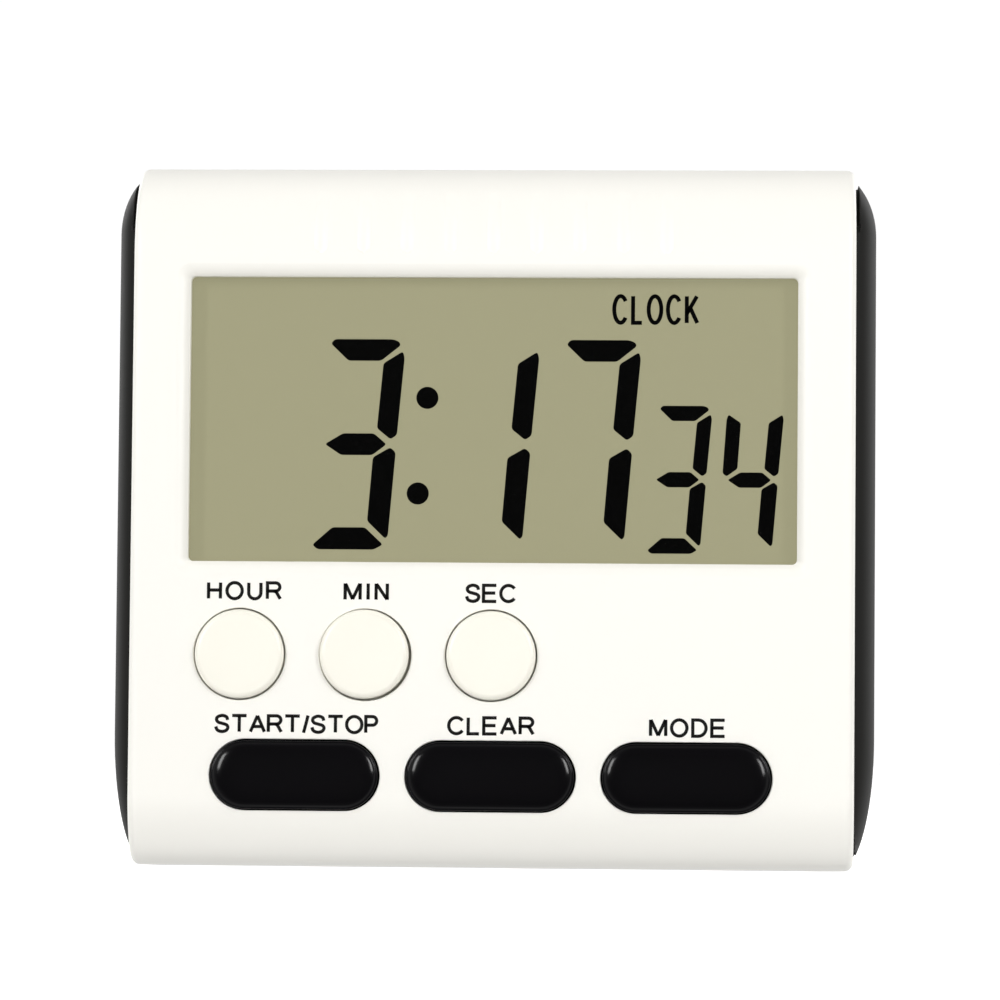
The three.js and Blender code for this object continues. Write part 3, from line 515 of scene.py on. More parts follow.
BUTTON_PROUD = FACE_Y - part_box("hour_button")[0].y
STEM_RADIUS = 1.6 * MM
FLANGE_FRONT = 1.9 * MM
FLANGE_BACK = 2.6 * MM
STEM_END = 4.4 * MM
FACE_STEPS = 8
RIM_STEPS = 10
ROUND_DOME = 0.10 * MM
ROUND_RIM = 0.62 * MM
ROUND_RIM_DEPTH = 0.55 * MM
# The minute cap sits a little to the left of and above the middle of its hole.
MINUTE_SHIFT = (-0.09 * MM, 0.06 * MM)


def round_profile(radius):
    """(inset, depth) pairs from near the middle of a cap's face, over its rim, to its flange."""
    profile = []
    for step in range(FACE_STEPS):
        part = step / FACE_STEPS
        inset = ROUND_RIM + (radius - ROUND_RIM) * (1 - part) * 0.98
        profile.append((inset, -BUTTON_PROUD + ROUND_DOME * part ** 2))
    for turn in quarter_turns(RIM_STEPS):
        profile.append((ROUND_RIM * (1 - math.sin(turn)),
                        -BUTTON_PROUD + ROUND_DOME + ROUND_RIM_DEPTH * (1 - math.cos(turn))))
    profile += [(0, 0.6 * MM), (0, FLANGE_FRONT), (-FLANGE + 0.05 * MM, FLANGE_FRONT),
                (-FLANGE, FLANGE_FRONT + 0.05 * MM), (-FLANGE, FLANGE_BACK)]
    return profile


def make_key(name, x, z, rings):
    """A key from its rings, front to back, with the stem behind it."""
    stem = through(round_outline(x, z, STEM_RADIUS, 32), FLANGE_BACK - 0.01 * MM, STEM_END)
    return add_mesh(name, *merge(skin(rings), stem))


cream = moulded("cream_polystyrene", (0.905, 0.882, 0.785), 0.30, grain=0.03, grain_size=0.5, tint=0.02,
                coat=0.12)
for name in ROUND_BUTTONS:
    x, z, radius, _ = key_size(name)
    if name == "minute_button":
        x += MINUTE_SHIFT[0]
        z += MINUTE_SHIFT[1]
    rings = [at_depth(round_outline(x, z, radius - inset), depth) for inset, depth in round_profile(radius)]
    cap = make_key(f"{name}_cap", x, z, rings)
    dress(cap, cream, name, "cream_button", name)

# ------------------------------------------------------------
# Oblong buttons.
# Three black polystyrene caps, polished like piano keys. Each has a gently crowned face with a narrow shelf
# round it, and the same hidden flange and stem as the round ones.

OBLONG_TILT = math.radians(30)
OBLONG_FADE = 0.90 * MM
OBLONG_STEPS = 28
OBLONG_SHELF = 0.27 * MM
SHELF_WALL = Vector((0.07 * MM, 0.10 * MM))
OBLONG_EDGE = 0.10 * MM
OBLONG_EDGE_STEPS = 5


def oblong_profile(half):
    """(inset, depth) pairs: a face that falls away ever more steeply, a narrow shelf, then the flange."""
    inset, depth = half * 0.98, -BUTTON_PROUD
    step_in = (inset - OBLONG_SHELF) / OBLONG_STEPS
    profile = [(inset, depth)]
    for step in range(OBLONG_STEPS):
        middle = inset - step_in / 2 - OBLONG_SHELF
        depth += step_in * math.tan(OBLONG_TILT * math.exp(-middle / OBLONG_FADE))
        inset -= step_in
        profile.append((inset, depth))
    profile.append((OBLONG_SHELF - SHELF_WALL.x, depth + SHELF_WALL.y))
    shelf = depth + SHELF_WALL.y + 0.01 * MM
    for turn in quarter_turns(OBLONG_EDGE_STEPS):
        profile.append((OBLONG_EDGE * (1 - math.sin(turn)), shelf + OBLONG_EDGE * (1 - math.cos(turn))))
    profile += [(0, FLANGE_FRONT), (-FLANGE, FLANGE_FRONT), (-FLANGE, FLANGE_BACK)]
    return profile


piano_black = moulded("piano_black", (0.0045, 0.0042, 0.005), 0.15, grain=0.02, grain_size=0.8, tint=0.2,
                      specular=0.16)
for name in OBLONG_BUTTONS:
    x, z, half_length, half_height = key_size(name)
    rings = [at_depth(stadium(x, z, half_length - inset, half_height - inset), depth)
             for inset, depth in oblong_profile(half_height)]
    cap = make_key(f"{name}_cap", x, z, rings)
    dress(cap, piano_black, name, "black_button", name)

# ------------------------------------------------------------
# Labels.
# Pad printed in one pass of black ink, in plain capitals of even stroke, straight onto the shell above the
# keys.

INK_HEIGHT = 0.015 * MM
LABEL_CAP = 1.91 * MM
LABEL_STROKE = 0.325 * MM


def arc(x, z, width, height, start, end, steps=28):
    turns = [math.radians(start + (end - start) * i / steps) for i in range(steps + 1)]
    return [(x + width * math.cos(turn), z + height * math.sin(turn)) for turn in turns]


def flowing(points, steps=6):
    """A smooth line through the points."""
    padded = [points[0]] + points + [points[-1]]
    line = []
    for a, b, c, d in zip(padded, padded[1:], padded[2:], padded[3:]):
        for i in range(steps):
            t = i / steps
            line.append(tuple(0.5 * (2 * q + (r - p) * t + (2 * p - 5 * q + 4 * r - s) * t * t
                                     + (3 * q - p - 3 * r + s) * t ** 3) for p, q, r, s in zip(a, b, c, d)))
    return line + [points[-1]]


# Each letter: its width against the height of a capital, and its strokes in a square of side 1.
LETTERS = {
    "A": (0.73, [[(0, 0), (0.5, 1)], [(0.5, 1), (1, 0)], [(0.18, 0.33), (0.82, 0.33)]]),
    "C": (0.76, [arc(0.52, 0.5, 0.52, 0.5, 38, 322)]),
    "D": (0.68, [[(0, 0), (0, 1), (0.42, 1)] + arc(0.42, 0.5, 0.58, 0.5, 90, -90) + [(0.42, 0), (0, 0)]]),
    "E": (0.66, [[(1, 1), (0, 1), (0, 0), (1, 0)], [(0, 0.52), (0.92, 0.52)]]),
    "H": (0.62, [[(0, 0), (0, 1)], [(1, 0), (1, 1)], [(0, 0.53), (1, 0.53)]]),
    "I": (0.02, [[(0.5, 0), (0.5, 1)]]),
    "K": (0.66, [[(0, 0), (0, 1)], [(0.95, 1), (0, 0.34)], [(0.33, 0.57), (1, 0)]]),
    "L": (0.56, [[(0, 1), (0, 0), (1, 0)]]),
    "M": (0.78, [[(0, 0), (0, 1)], [(0.02, 0.99), (0.5, 0.02)], [(0.5, 0.02), (0.98, 0.99)],
                 [(1, 1), (1, 0)]]),
    "N": (0.58, [[(0, 0), (0, 1)], [(0.03, 0.98), (0.97, 0.02)], [(1, 0), (1, 1)]]),
    "O": (0.79, [arc(0.5, 0.5, 0.5, 0.5, 90, 450)]),
    "P": (0.56, [[(0, 0), (0, 1), (0.6, 1)] + arc(0.62, 0.735, 0.38, 0.265, 90, -90)
                 + [(0.6, 0.47), (0, 0.47)]]),
    "R": (0.67, [[(0, 0), (0, 1), (0.6, 1)] + arc(0.62, 0.745, 0.34, 0.255, 90, -90)
                 + [(0.6, 0.49), (0, 0.49)],
                 flowing([(0.5, 0.49), (0.68, 0.43), (0.84, 0.22), (1, 0)])]),
    "S": (0.64, [flowing([(0.95, 0.72), (0.86, 0.91), (0.5, 1), (0.14, 0.9), (0.06, 0.73), (0.2, 0.58),
                          (0.52, 0.505), (0.86, 0.42), (0.98, 0.26), (0.85, 0.08), (0.5, 0), (0.13, 0.09),
                          (0, 0.31)])]),
    "T": (0.75, [[(0, 1), (1, 1)], [(0.5, 0), (0.5, 1)]]),
    "U": (0.63, [[(0, 1)] + arc(0.5, 0.37, 0.5, 0.37, 180, 360) + [(1, 1)]]),
    "/": (0.23, [[(0, -0.04), (1, 1.04)]]),
}


def ribbon(line, stroke, depth):
    """A flat printed line of even width that follows the points."""
    half = stroke / 2
    line = [here for i, here in enumerate(line) if i == 0 or math.dist(here, line[i - 1]) > 1e-8]
    closed = math.dist(line[0], line[-1]) < 1e-8
    if closed:
        line = line[:-1]
    count = len(line)
    left, right = [], []
    for i, here in enumerate(line):
        before = line[i - 1] if (i > 0 or closed) else None
        after = line[(i + 1) % count] if (i < count - 1 or closed) else None
        normals = []
        for a, b in ((before, here), (here, after)):
            if a and b:
                run = math.dist(a, b)
                normals.append(((a[1] - b[1]) / run, (b[0] - a[0]) / run))
        nx = sum(n[0] for n in normals) / len(normals)
        nz = sum(n[1] for n in normals) / len(normals)
        reach = half / max(nx * nx + nz * nz, 0.35)
        left.append((here[0] + nx * reach, here[1] + nz * reach))
        right.append((here[0] - nx * reach, here[1] - nz * reach))
    rings = []
    for (lx, lz), (rx, rz) in zip(left, right):
        back, front = FACE_Y + depth, FACE_Y + depth - INK_HEIGHT
        rings.append([(lx, back, lz), (lx, front, lz), (rx, front, rz), (rx, back, rz)])
    if closed:
        rings.append(rings[0])
    return skin(rings, capped=not closed)


def word(text, x, z, cap, width, stroke, depth, squeeze=1.0):
    """The strokes of a word, spread to an exact width about its middle."""
    widths = [LETTERS[letter][0] * cap * squeeze for letter in text]
    space = (width - sum(widths) - stroke) / (len(text) - 1)
    left = x - (width - stroke) / 2
    strokes = []
    for letter, wide in zip(text, widths):
        for line in LETTERS[letter][1]:
            placed = [(left + u * wide, z + (v - 0.5) * (cap - stroke)) for u, v in line]
            strokes.append(ribbon(placed, stroke, depth))
        left += wide + space
    return strokes


# Each label's word, the x and z of its middle, and its width.
LABELS = (("HOUR", -24.38, 27.2, 7.45), ("MIN", -12.3, 27.2, 4.5), ("SEC", 0.05, 27.1, 5.15),
          ("START/STOP", -19.1, 14.07, 16.25), ("CLEAR", 0.15, 14.05, 8.65), ("MODE", 19.5, 14.0, 7.6))
ink = moulded("black_ink", (0.007, 0.006, 0.005), 0.5, grain=0.05, grain_size=0.15, tint=0.3, specular=0.15)
for text, x, z, width in LABELS:
    strokes = word(text, x * MM, z * MM, LABEL_CAP, width * MM, LABEL_STROKE, 0)
    label = add_mesh(f"label_{text.lower().replace('/', '_')}", *merge(*strokes))
    dress(label, ink, "case", "black_button")

# ------------------------------------------------------------
# Display window.
# A clear acrylic pane, stepped so that it fills the opening with a hairline gap all round, and is trapped
# behind it by its flange.

clear = moulded("clear_acrylic", (0.010, 0.011, 0.010), 0.06, grain=0.01, grain_size=0.6, tint=0.02,
                specular=0.3)
clear.node_tree.nodes["Principled BSDF"].inputs["Alpha"].default_value = 0.03
PANE_GAP = 0.10 * MM
PANE_CHAMFER = 0.06 * MM
PANE_FRONT = 0.85 * MM
PANE_SHOULDER = 1.7 * MM
PANE_BACK = 2.4 * MM
pane = opening_outline(-PANE_GAP, 0.45 * MM)
pane_edge = opening_outline(-PANE_GAP - PANE_CHAMFER, 0.40 * MM)
window_low, window_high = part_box("display_window")
flange = rounded_outline(window_low.x, window_high.x, window_low.z, window_high.z, 0.4 * MM)
pane_rings = ((pane_edge, PANE_FRONT), (pane, PANE_FRONT + PANE_CHAMFER), (pane, PANE_SHOULDER),
              (flange, PANE_SHOULDER), (flange, PANE_BACK))
window = add_mesh("window_pane", *skin([at_depth(outline, depth) for outline, depth in pane_rings]),
                  smooth=False)
dress(window, clear, "case", "clear_window", "display_window")

# ------------------------------------------------------------
# Liquid crystal display.
# Two sheets of glass between polarising films, over a matt reflector, which together look grey olive. Its
# dark segments are leaning seven-segment digits, two dots for the colon and the word for its mode.

FIGURE_BACK = 2.445 * MM
FIGURE_FRONT = FIGURE_BACK - 0.01 * MM
BASELINE = 31.46
SLANT = 0.0805
BIG = 20.97
BIG_MIDDLE = BIG / 2
MIRROR = -3.95
SEGMENTS = {
    "a": [(-7.4, BIG - 0.45), (-7.05, BIG), (-1.25, BIG), (-0.62, BIG - 0.22), (-0.42, BIG - 0.6),
          (-2.25, BIG - 2.15), (-5.5, BIG - 2.15)],
    "g": [(-7.1, BIG_MIDDLE), (-5.4, BIG_MIDDLE + 1.08), (-2.3, BIG_MIDDLE + 1.08), (-0.95, BIG_MIDDLE),
          (-2.3, BIG_MIDDLE - 1.08), (-5.4, BIG_MIDDLE - 1.08)],
    "d": [(-7.45, 0.45), (-5.6, 2.2), (-2.35, 2.2), (-0.42, 0.5), (-1.3, 0), (-6.9, 0)],
    "b": [(-0.15, BIG - 1.2), (0.08, BIG - 1.85), (0, BIG_MIDDLE + 0.95), (-0.6, BIG_MIDDLE + 0.5),
          (-2.05, BIG_MIDDLE + 1.6), (-1.98, BIG - 2.4)],
    "c": [(-0.55, BIG_MIDDLE - 0.3), (0.03, BIG_MIDDLE - 0.8), (0, 1.4), (-0.25, 1.1), (-2.2, 2.85),
          (-2.2, BIG_MIDDLE - 1.3)],
}
SEGMENTS["f"] = [(2 * MIRROR - x, z) for x, z in SEGMENTS["b"]]
# Each digit's lit segments, the x of its right side, the lift of its foot and its size.
DIGITS = (("abgcd", -10.52, 0, 1.0), ("bc", 2.88, 0, 1.0), ("abc", 12.98, 0, 1.0),
          ("abgcd", 20.55, -0.22, 0.7), ("fgbc", 27.65, -0.22, 0.7))
DOTS = ((-6.6, 46.6), (-7.47, 37.07))
DOT_RADIUS = 1.1
CORNER_ROUND = 0.28


def soft_corners(points, radius, steps=4):
    """The outline with each corner replaced by a short curve."""
    outline = []
    for i, corner in enumerate(points):
        here = Vector(corner)
        back = Vector(points[i - 1]) - here
        on = Vector(points[(i + 1) % len(points)]) - here
        start = here + back * min(radius / back.length, 0.45)
        end = here + on * min(radius / on.length, 0.45)
        for step in range(steps + 1):
            t = step / steps
            outline.append(tuple(start * (1 - t) ** 2 + here * 2 * t * (1 - t) + end * t ** 2))
    return outline


figures = []
for lit, right, foot, scale in DIGITS:
    for letter in lit:
        shape = [((right + x * scale + SLANT * z * scale) * MM, (BASELINE + foot + z * scale) * MM)
                 for x, z in soft_corners(SEGMENTS[letter], CORNER_ROUND)]
        figures.append(through(shape, FIGURE_FRONT, FIGURE_BACK))
for x, z in DOTS:
    figures.append(through(round_outline(x * MM, z * MM, DOT_RADIUS * MM, 48), FIGURE_FRONT, FIGURE_BACK))
figures += word("CLOCK", x=16.05 * MM, z=55.5 * MM, cap=3.06 * MM, width=8.65 * MM, stroke=0.40 * MM,
                depth=FIGURE_BACK, squeeze=0.52)
segment_black = moulded("segment_black", (0.0012, 0.0012, 0.0012), 0.6, grain=0.02, tint=0.2, specular=0.02)
shown = add_mesh("display_figures", *merge(*figures), smooth=False)
dress(shown, segment_black, "case", "display_film")


def finish_node(name, material, bevel=0.0):
    """Gives a solid that is already right its material, and rounds its edges a little."""
    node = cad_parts[name]
    node.data.materials.clear()
    node.data.materials.append(material)
    if bevel:
        edge = node.modifiers.new("edge", "BEVEL")
        edge.width = bevel
        edge.segments = 2
        edge.limit_method = "ANGLE"
        edge.angle_limit = math.radians(40)


olive = moulded("grey_olive_film_painted_glow", (0.090, 0.0865, 0.0535), 0.75, grain=0.02, grain_size=0.06, tint=0.025,
                specular=0.15)
# Painted light: the film and reflector glow evenly, to lift the shade that the window's frame casts.
painted_glow = olive.node_tree.nodes["Principled BSDF"]
painted_glow.inputs["Emission Color"].default_value = (0.415, 0.398, 0.247, 1)
painted_glow.inputs["Emission Strength"].default_value = 0.73
finish_node("front_polariser", olive)
finish_node("display_reflector", olive)
display_glass = moulded("display_glass", (0.55, 0.60, 0.55), 0.08, grain=0.02, grain_size=0.4)
display_glass.node_tree.nodes["Principled BSDF"].inputs["Alpha"].default_value = 0.35
finish_node("display_front_glass", display_glass, 0.06 * MM)
finish_node("display_rear_glass", display_glass, 0.06 * MM)

# ------------------------------------------------------------
# Display holder and contact strip.
# A white frame clips the display to the shell. The strip between glass and board is rubber in fine layers,
# carbon filled and clear by turns, which carries every segment's signal.

finish_node("display_holder", white_abs, 0.12 * MM)


def striped(name, light, dark, pitch, roughness):
    """Even stripes of two colours along x."""
    material = moulded(name, light, roughness)
    tree = material.node_tree
    place = tree.nodes.new("ShaderNodeTexCoord")
    waves = tree.nodes.new("ShaderNodeTexWave")
    waves.bands_direction = "X"
    waves.inputs["Scale"].default_value = math.pi / (10 * pitch)
    waves.inputs["Distortion"].default_value = 0.4
    tree.links.new(place.outputs["Object"], waves.inputs["Vector"])
    two_colours(tree, waves.outputs["Fac"], light, dark)
    return material


STRIPE_PITCH = 0.25 * MM
layered_rubber = striped("layered_rubber", (0.62, 0.50, 0.50), (0.02, 0.02, 0.02), STRIPE_PITCH, 0.7)
finish_node("contact_strip", layered_rubber, 0.08 * MM)

# ------------------------------------------------------------
# Silicone keypad.
# One grey silicone mat, compression moulded, with a dome and a carbon pill under each button.

silicone = moulded("grey_silicone", (0.42, 0.43, 0.44), 0.62, grain=0.12, grain_size=0.08, tint=0.05)
finish_node("rubber_keypad", silicone, 0.08 * MM)

# ------------------------------------------------------------
# Circuit board and what is soldered to it.
# Green solder mask over copper tracks. It carries a chip under a drop of black epoxy, a clock crystal in a
# steel can, a capacitor and a resistor.

solder_mask = moulded("green_solder_mask", (0.020, 0.115, 0.045), 0.32, grain=0.05, grain_size=0.3, coat=0.3)
tracks = solder_mask.node_tree
mask_place = tracks.nodes.new("ShaderNodeTexCoord")
mask_turn = tracks.nodes.new("ShaderNodeMapping")
mask_turn.inputs["Rotation"].default_value = (math.pi / 2, 0, 0)
copper_plan = tracks.nodes.new("ShaderNodeTexBrick")
copper_plan.inputs["Scale"].default_value = 320
copper_plan.inputs["Mortar Size"].default_value = 0.035
copper_plan.inputs["Mortar Smooth"].default_value = 0.1
copper_plan.inputs["Color1"].default_value = (0.018, 0.105, 0.040, 1)
copper_plan.inputs["Color2"].default_value = (0.022, 0.125, 0.050, 1)
copper_plan.inputs["Mortar"].default_value = (0.050, 0.210, 0.085, 1)
tracks.links.new(mask_place.outputs["Object"], mask_turn.inputs["Vector"])
tracks.links.new(mask_turn.outputs["Vector"], copper_plan.inputs["Vector"])
tracks.links.new(copper_plan.outputs["Color"], tracks.nodes["Principled BSDF"].inputs["Base Color"])
finish_node("circuit_board", solder_mask, 0.06 * MM)


SCRATCH_SCALE = 6
SCRATCH_DEPTH = 0.01 * MM
FILM_SCALE = 300
FILM_SHADE = 0.82


def metal(name, colour, roughness, scratch=0.15, stretch=(40, 900, 900)):
    """A plated or drawn metal: fine scratches along one way, under a film of handling that dulls it."""
    material = bpy.data.materials.new(name)
    material.use_nodes = True
    tree = material.node_tree
    tree.nodes["Principled BSDF"].inputs["Metallic"].default_value = 1.0
    place = tree.nodes.new("ShaderNodeTexCoord").outputs["Object"]
    along = tree.nodes.new("ShaderNodeVectorMath")
    along.operation = "MULTIPLY"
    along.inputs[1].default_value = stretch
    tree.links.new(place, along.inputs[0])
    two_colours(tree, noise(tree, place, FILM_SCALE, 2), colour, [c * FILM_SHADE for c in colour])
    scratches = noise(tree, along.outputs["Vector"], SCRATCH_SCALE, 3)
    texture(tree, scratches, roughness * 0.75, roughness * 1.3, scratch, SCRATCH_DEPTH)
    return material


epoxy = moulded("black_epoxy_drop", (0.012, 0.012, 0.013), 0.25, grain=0.1, grain_size=0.6, tint=0.2)
ceramic = moulded("white_ceramic", (0.72, 0.69, 0.60), 0.45, grain=0.15, grain_size=0.06, tint=0.08)
steel = metal("zinc_plated_steel", (0.58, 0.58, 0.57), 0.33)
nickel = metal("nickel_plate", (0.47, 0.46, 0.44), 0.27, scratch=0.3, stretch=(60, 700, 700))
brass = metal("rolled_brass", (0.72, 0.53, 0.24), 0.28)
finish_node("chip_blob", epoxy, 0.05 * MM)
finish_node("resistor", epoxy, 0.06 * MM)
finish_node("capacitor", ceramic, 0.06 * MM)
finish_node("crystal", steel, 0.10 * MM)

# ------------------------------------------------------------
# Screws.
# Zinc-plated pan heads with a cross slot: five hold the board to the shell, and four, at the foot of deep
# bores in the back, hold the two halves of the case together.

for i in range(1, 6):
    finish_node(f"board_screw_{i}", steel, 0.04 * MM)

SCREW_HEAD = 1.9 * MM
SCREW_HEAD_HEIGHT = 1.3 * MM
SCREW_SHANK = 1.0 * MM
SCREW_LENGTH = 6.6 * MM
THREAD_PITCH = 0.7 * MM
THREAD_ROOT = 0.78 * SCREW_SHANK
CROSS_ARM = 0.2 * MM
TIP = 0.02 * MM


def make_screw(name, x, z, seat):
    """A pan-head screw with a cross cut in its head, its thread running forwards."""
    head, tall = SCREW_HEAD, SCREW_HEAD_HEIGHT
    profile = [(TIP, seat + tall), (head * 0.55, seat + tall * 0.97), (head * 0.82, seat + tall * 0.78),
               (head * 0.97, seat + tall * 0.45), (head, seat + 0.05 * MM), (head, seat),
               (SCREW_SHANK, seat)]
    for i in range(int(SCREW_LENGTH / THREAD_PITCH)):
        start = seat - (i + 0.3) * THREAD_PITCH
        profile += [(THREAD_ROOT, start), (THREAD_ROOT, start - 0.2 * MM), (SCREW_SHANK, start - 0.35 * MM)]
    profile.append((TIP, seat - SCREW_LENGTH))
    screw = add_mesh(name, *skin([at_depth(round_outline(x, z, r, 40), d) for r, d in profile]))
    slot = head * 0.52
    for half_x, half_z in ((slot, CROSS_ARM), (CROSS_ARM, slot)):
        outline = rounded_outline(x - half_x, x + half_x, z - half_z, z + half_z, 0.1 * MM, 2)
        combine(screw, through(outline, seat + tall * 0.35, seat + tall + 0.3 * MM), "DIFFERENCE")
    return screw


for i, (x, z) in enumerate(housing_posts, 1):
    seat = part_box(f"housing_screw_{i}")[1].y - FACE_Y - SCREW_HEAD_HEIGHT
    screw = make_screw(f"case_screw_{i}", x, z, seat)
    dress(screw, steel, "case", "screw_steel", f"housing_screw_{i}")

# ------------------------------------------------------------
# Rear housing.
# The other half of the case: black ABS with a fine spark-eroded grain, its edges rounded like a pebble. The
# battery bay, the stand's recess, two magnet pockets, the sounder's holes and a keyhole are moulded in it.

HOUSING_HALF = 38.0 * MM
HOUSING_FRONT = 2.2 * MM
BODY_DEPTH = 18.0 * MM
EDGE_WIDTH = 2.4 * MM
EDGE_DEPTH = 5.2 * MM
TOP_CORNER = Vector((5.0 * MM, 6.8 * MM))
BASE_CORNER = Vector((3.4 * MM, 13.0 * MM))
BACK_INSIDE = 16.4 * MM
CAVITY_HALF = 34.1 * MM
CAVITY_LOW = 3.4 * MM
CAVITY_HIGH = 66.6 * MM
CASE_GAP = 0.3 * MM
ARC_STEPS = 18
ROUNDING_STEPS = 12


def housing_outline(inset):
    """The housing's front view at some inset from its widest, with a quarter ellipse at each corner."""
    half = HOUSING_HALF - inset
    top = TOP_CORNER - Vector((inset, inset))
    base = BASE_CORNER - Vector((inset, inset))
    right = []
    for turn in quarter_turns(ARC_STEPS):
        right.append((half - base.x + base.x * math.sin(turn), inset + base.y * (1 - math.cos(turn))))
    for turn in quarter_turns(ARC_STEPS):
        right.append((half - top.x + top.x * math.cos(turn),
                      HEIGHT - inset - top.y + top.y * math.sin(turn)))
    return right + [(-x, z) for x, z in reversed(right)]


def box_at(x0, x1, d0, d1, z0, z1):
    """A plain block between two corners, in millimetres."""
    return through([(x0 * MM, z0 * MM), (x1 * MM, z0 * MM), (x1 * MM, z1 * MM), (x0 * MM, z1 * MM)],
                   d0 * MM, d1 * MM)


def bar_at(x, z, radius, d0, d1, steps=48):
    return through(round_outline(x * MM, z * MM, radius * MM, steps), d0 * MM, d1 * MM)


def about_x(x, depth, z, radius, turn):
    """A point at an angle round a line that runs along x, from millimetres."""
    return x * MM, FACE_Y + (depth + radius * math.cos(turn)) * MM, (z + radius * math.sin(turn)) * MM


def rod_across(half, depth, z, radius, steps=32):
    """A round bar along x."""
    turns = [2 * math.pi * i / steps for i in range(steps)]
    return skin([[about_x(x, depth, z, radius, turn) for turn in turns] for x in (-half, half)])


quarter = quarter_turns(ROUNDING_STEPS)
rings = [at_depth(housing_outline(EDGE_WIDTH * (1 - math.sin(turn))),
                  HOUSING_FRONT + EDGE_DEPTH * (1 - math.cos(turn))) for turn in quarter]
rings += [at_depth(housing_outline(EDGE_WIDTH * (1 - math.cos(turn))),
                   BODY_DEPTH - EDGE_DEPTH * (1 - math.sin(turn))) for turn in quarter]
housing = add_mesh("housing_moulding", *skin(rings))

# The front shell's bent wall sits in the housing with an even gap, and the housing is hollow behind it.
clear_half = SHELL_HALF + CASE_GAP
clear_rear = SHELL_WRAP + CASE_GAP
outside = 5 * MM
around = [(clear_rear, -outside), (-outside, -outside), (-outside, HEIGHT + outside),
          (clear_rear, HEIGHT + outside)]
side_view = around + bend_path(SHELL_WALL + CASE_GAP, clear_rear)[::-1]
clearance = skin([[(x, FACE_Y + d, z) for d, z in side_view] for x in (-clear_half, clear_half)])
combine(housing, clearance, "DIFFERENCE")
hollow = rounded_outline(-CAVITY_HALF, CAVITY_HALF, CAVITY_LOW, CAVITY_HIGH, 2 * MM)
combine(housing, through(hollow, 0, BACK_INSIDE), "DIFFERENCE")

# Millimetres: left, right, front, back, low and high of each block.
WALL_BACK = 16.9
WALLS = {"battery bay": (-27.4, 25.4, 5.3, WALL_BACK, 44.0, 57.0),
         "cover rim": (-28.4, 28.4, 15.4, WALL_BACK, 42.2, 58.8),
         "stand recess": (-16.6, 16.6, 14.1, WALL_BACK, 2.9, 41.2),
         "keyhole box": (-5.6, 5.6, 12.6, WALL_BACK, 56.4, 67.1)}
MAGNETS = ((-25.0, 35.0), (25.0, 35.0))
MAGNET_CUP = (6.3, 14.6, WALL_BACK)
MAGNET_POCKET = (5.1, 15.75)
BOSS_OUTSIDE = (2.9, 9.3, WALL_BACK)
BUZZER = (-25.4, 17.0)
BUZZER_SEAT = ((9.6, 16.9), (9.6, 14.8), (8.6, 14.8), (8.6, 15.8), (7.2, 15.8), (7.2, 16.9))
for block in WALLS.values():
    combine(housing, box_at(*block), "UNION")
for x, z in MAGNETS:
    combine(housing, bar_at(x, z, *MAGNET_CUP), "UNION")
for x, z in housing_posts:
    combine(housing, bar_at(x / MM, z / MM, *BOSS_OUTSIDE), "UNION")
seat = skin([at_depth(round_outline(BUZZER[0] * MM, BUZZER[1] * MM, r * MM, 64), d * MM)
             for r, d in BUZZER_SEAT])
combine(housing, seat, "UNION")


def rounded_at(left, right, front, back, low, high, corner):
    """A block with round corners, in millimetres."""
    outline = rounded_outline(left * MM, right * MM, low * MM, high * MM, corner * MM)
    return through(outline, front * MM, back * MM)


# What is cut from the housing once its walls are in. OUT lies behind the timer, so a cut that ends there is
# open to the back. The pin holes, the keyhole chamber and the slots for the contacts' tabs lie inside.
OUT = 19
STAND_AXIS = (16.85, 37.6)
PIN_HOLE = (15.5, *STAND_AXIS, 0.98)
SOUND_HOLE = {"radius": 0.6, "ring": 3.2, "front": 15.6}
TAB_SLOTS = (-25.75, 23.65)
battery_bay = box_at(-26.2, 24.2, 6.15, OUT, 45.1, 55.9)
cover_seat = rounded_at(-27.15, 27.15, 16.8, OUT, 43.25, 57.75, 0.7)
stand_recess = rounded_at(-14, 14, 15.3, OUT, 3.9, 40, 0.5)
keyhole_chamber = rounded_at(-4.4, 4.4, 13.6, 16.4, 58.2, 65.8, 0.3)
keyhole_entry = bar_at(0, 61.4, 3.2, 14, OUT)
keyhole_slot = rounded_at(-1.6, 1.6, 14, OUT, 60, 65.2, 1.59)
back_cuts = [battery_bay, cover_seat, stand_recess, rod_across(*PIN_HOLE),
             keyhole_chamber, keyhole_entry, keyhole_slot]
back_cuts += [bar_at(x, z, *MAGNET_POCKET, OUT, 72) for x, z in MAGNETS]
for x, z in housing_posts:
    back_cuts.append(bar_at(x / MM, z / MM, 2.2, 10.5, OUT))
    back_cuts.append(bar_at(x / MM, z / MM, 1.3, 5, 11))
for i in range(7):
    ring = SOUND_HOLE["ring"] if i else 0
    angle = i * math.pi / 3
    back_cuts.append(bar_at(BUZZER[0] + ring * math.cos(angle), BUZZER[1] + ring * math.sin(angle),
                            SOUND_HOLE["radius"], SOUND_HOLE["front"], OUT, 24))
for x in TAB_SLOTS:
    back_cuts.append(box_at(x - 0.45, x + 0.45, 10.3, 13.3, 43.1, 45.2))
for cut in back_cuts:
    combine(housing, cut, "DIFFERENCE")

charcoal = moulded("charcoal_abs", (0.0098, 0.0094, 0.0082), 0.55, grain=0.30, grain_size=0.09, tint=0.12,
                   specular=0.13)
soften(housing, 0.14 * MM)
dress(housing, charcoal, "case", "black_housing", "rear_housing")

# ------------------------------------------------------------
# Battery cover.
# A thin black panel, flush with the back. Two saw cuts free its latch tongue, a shallow hollow takes the
# fingertip, and two ribs behind it sit over the cell.

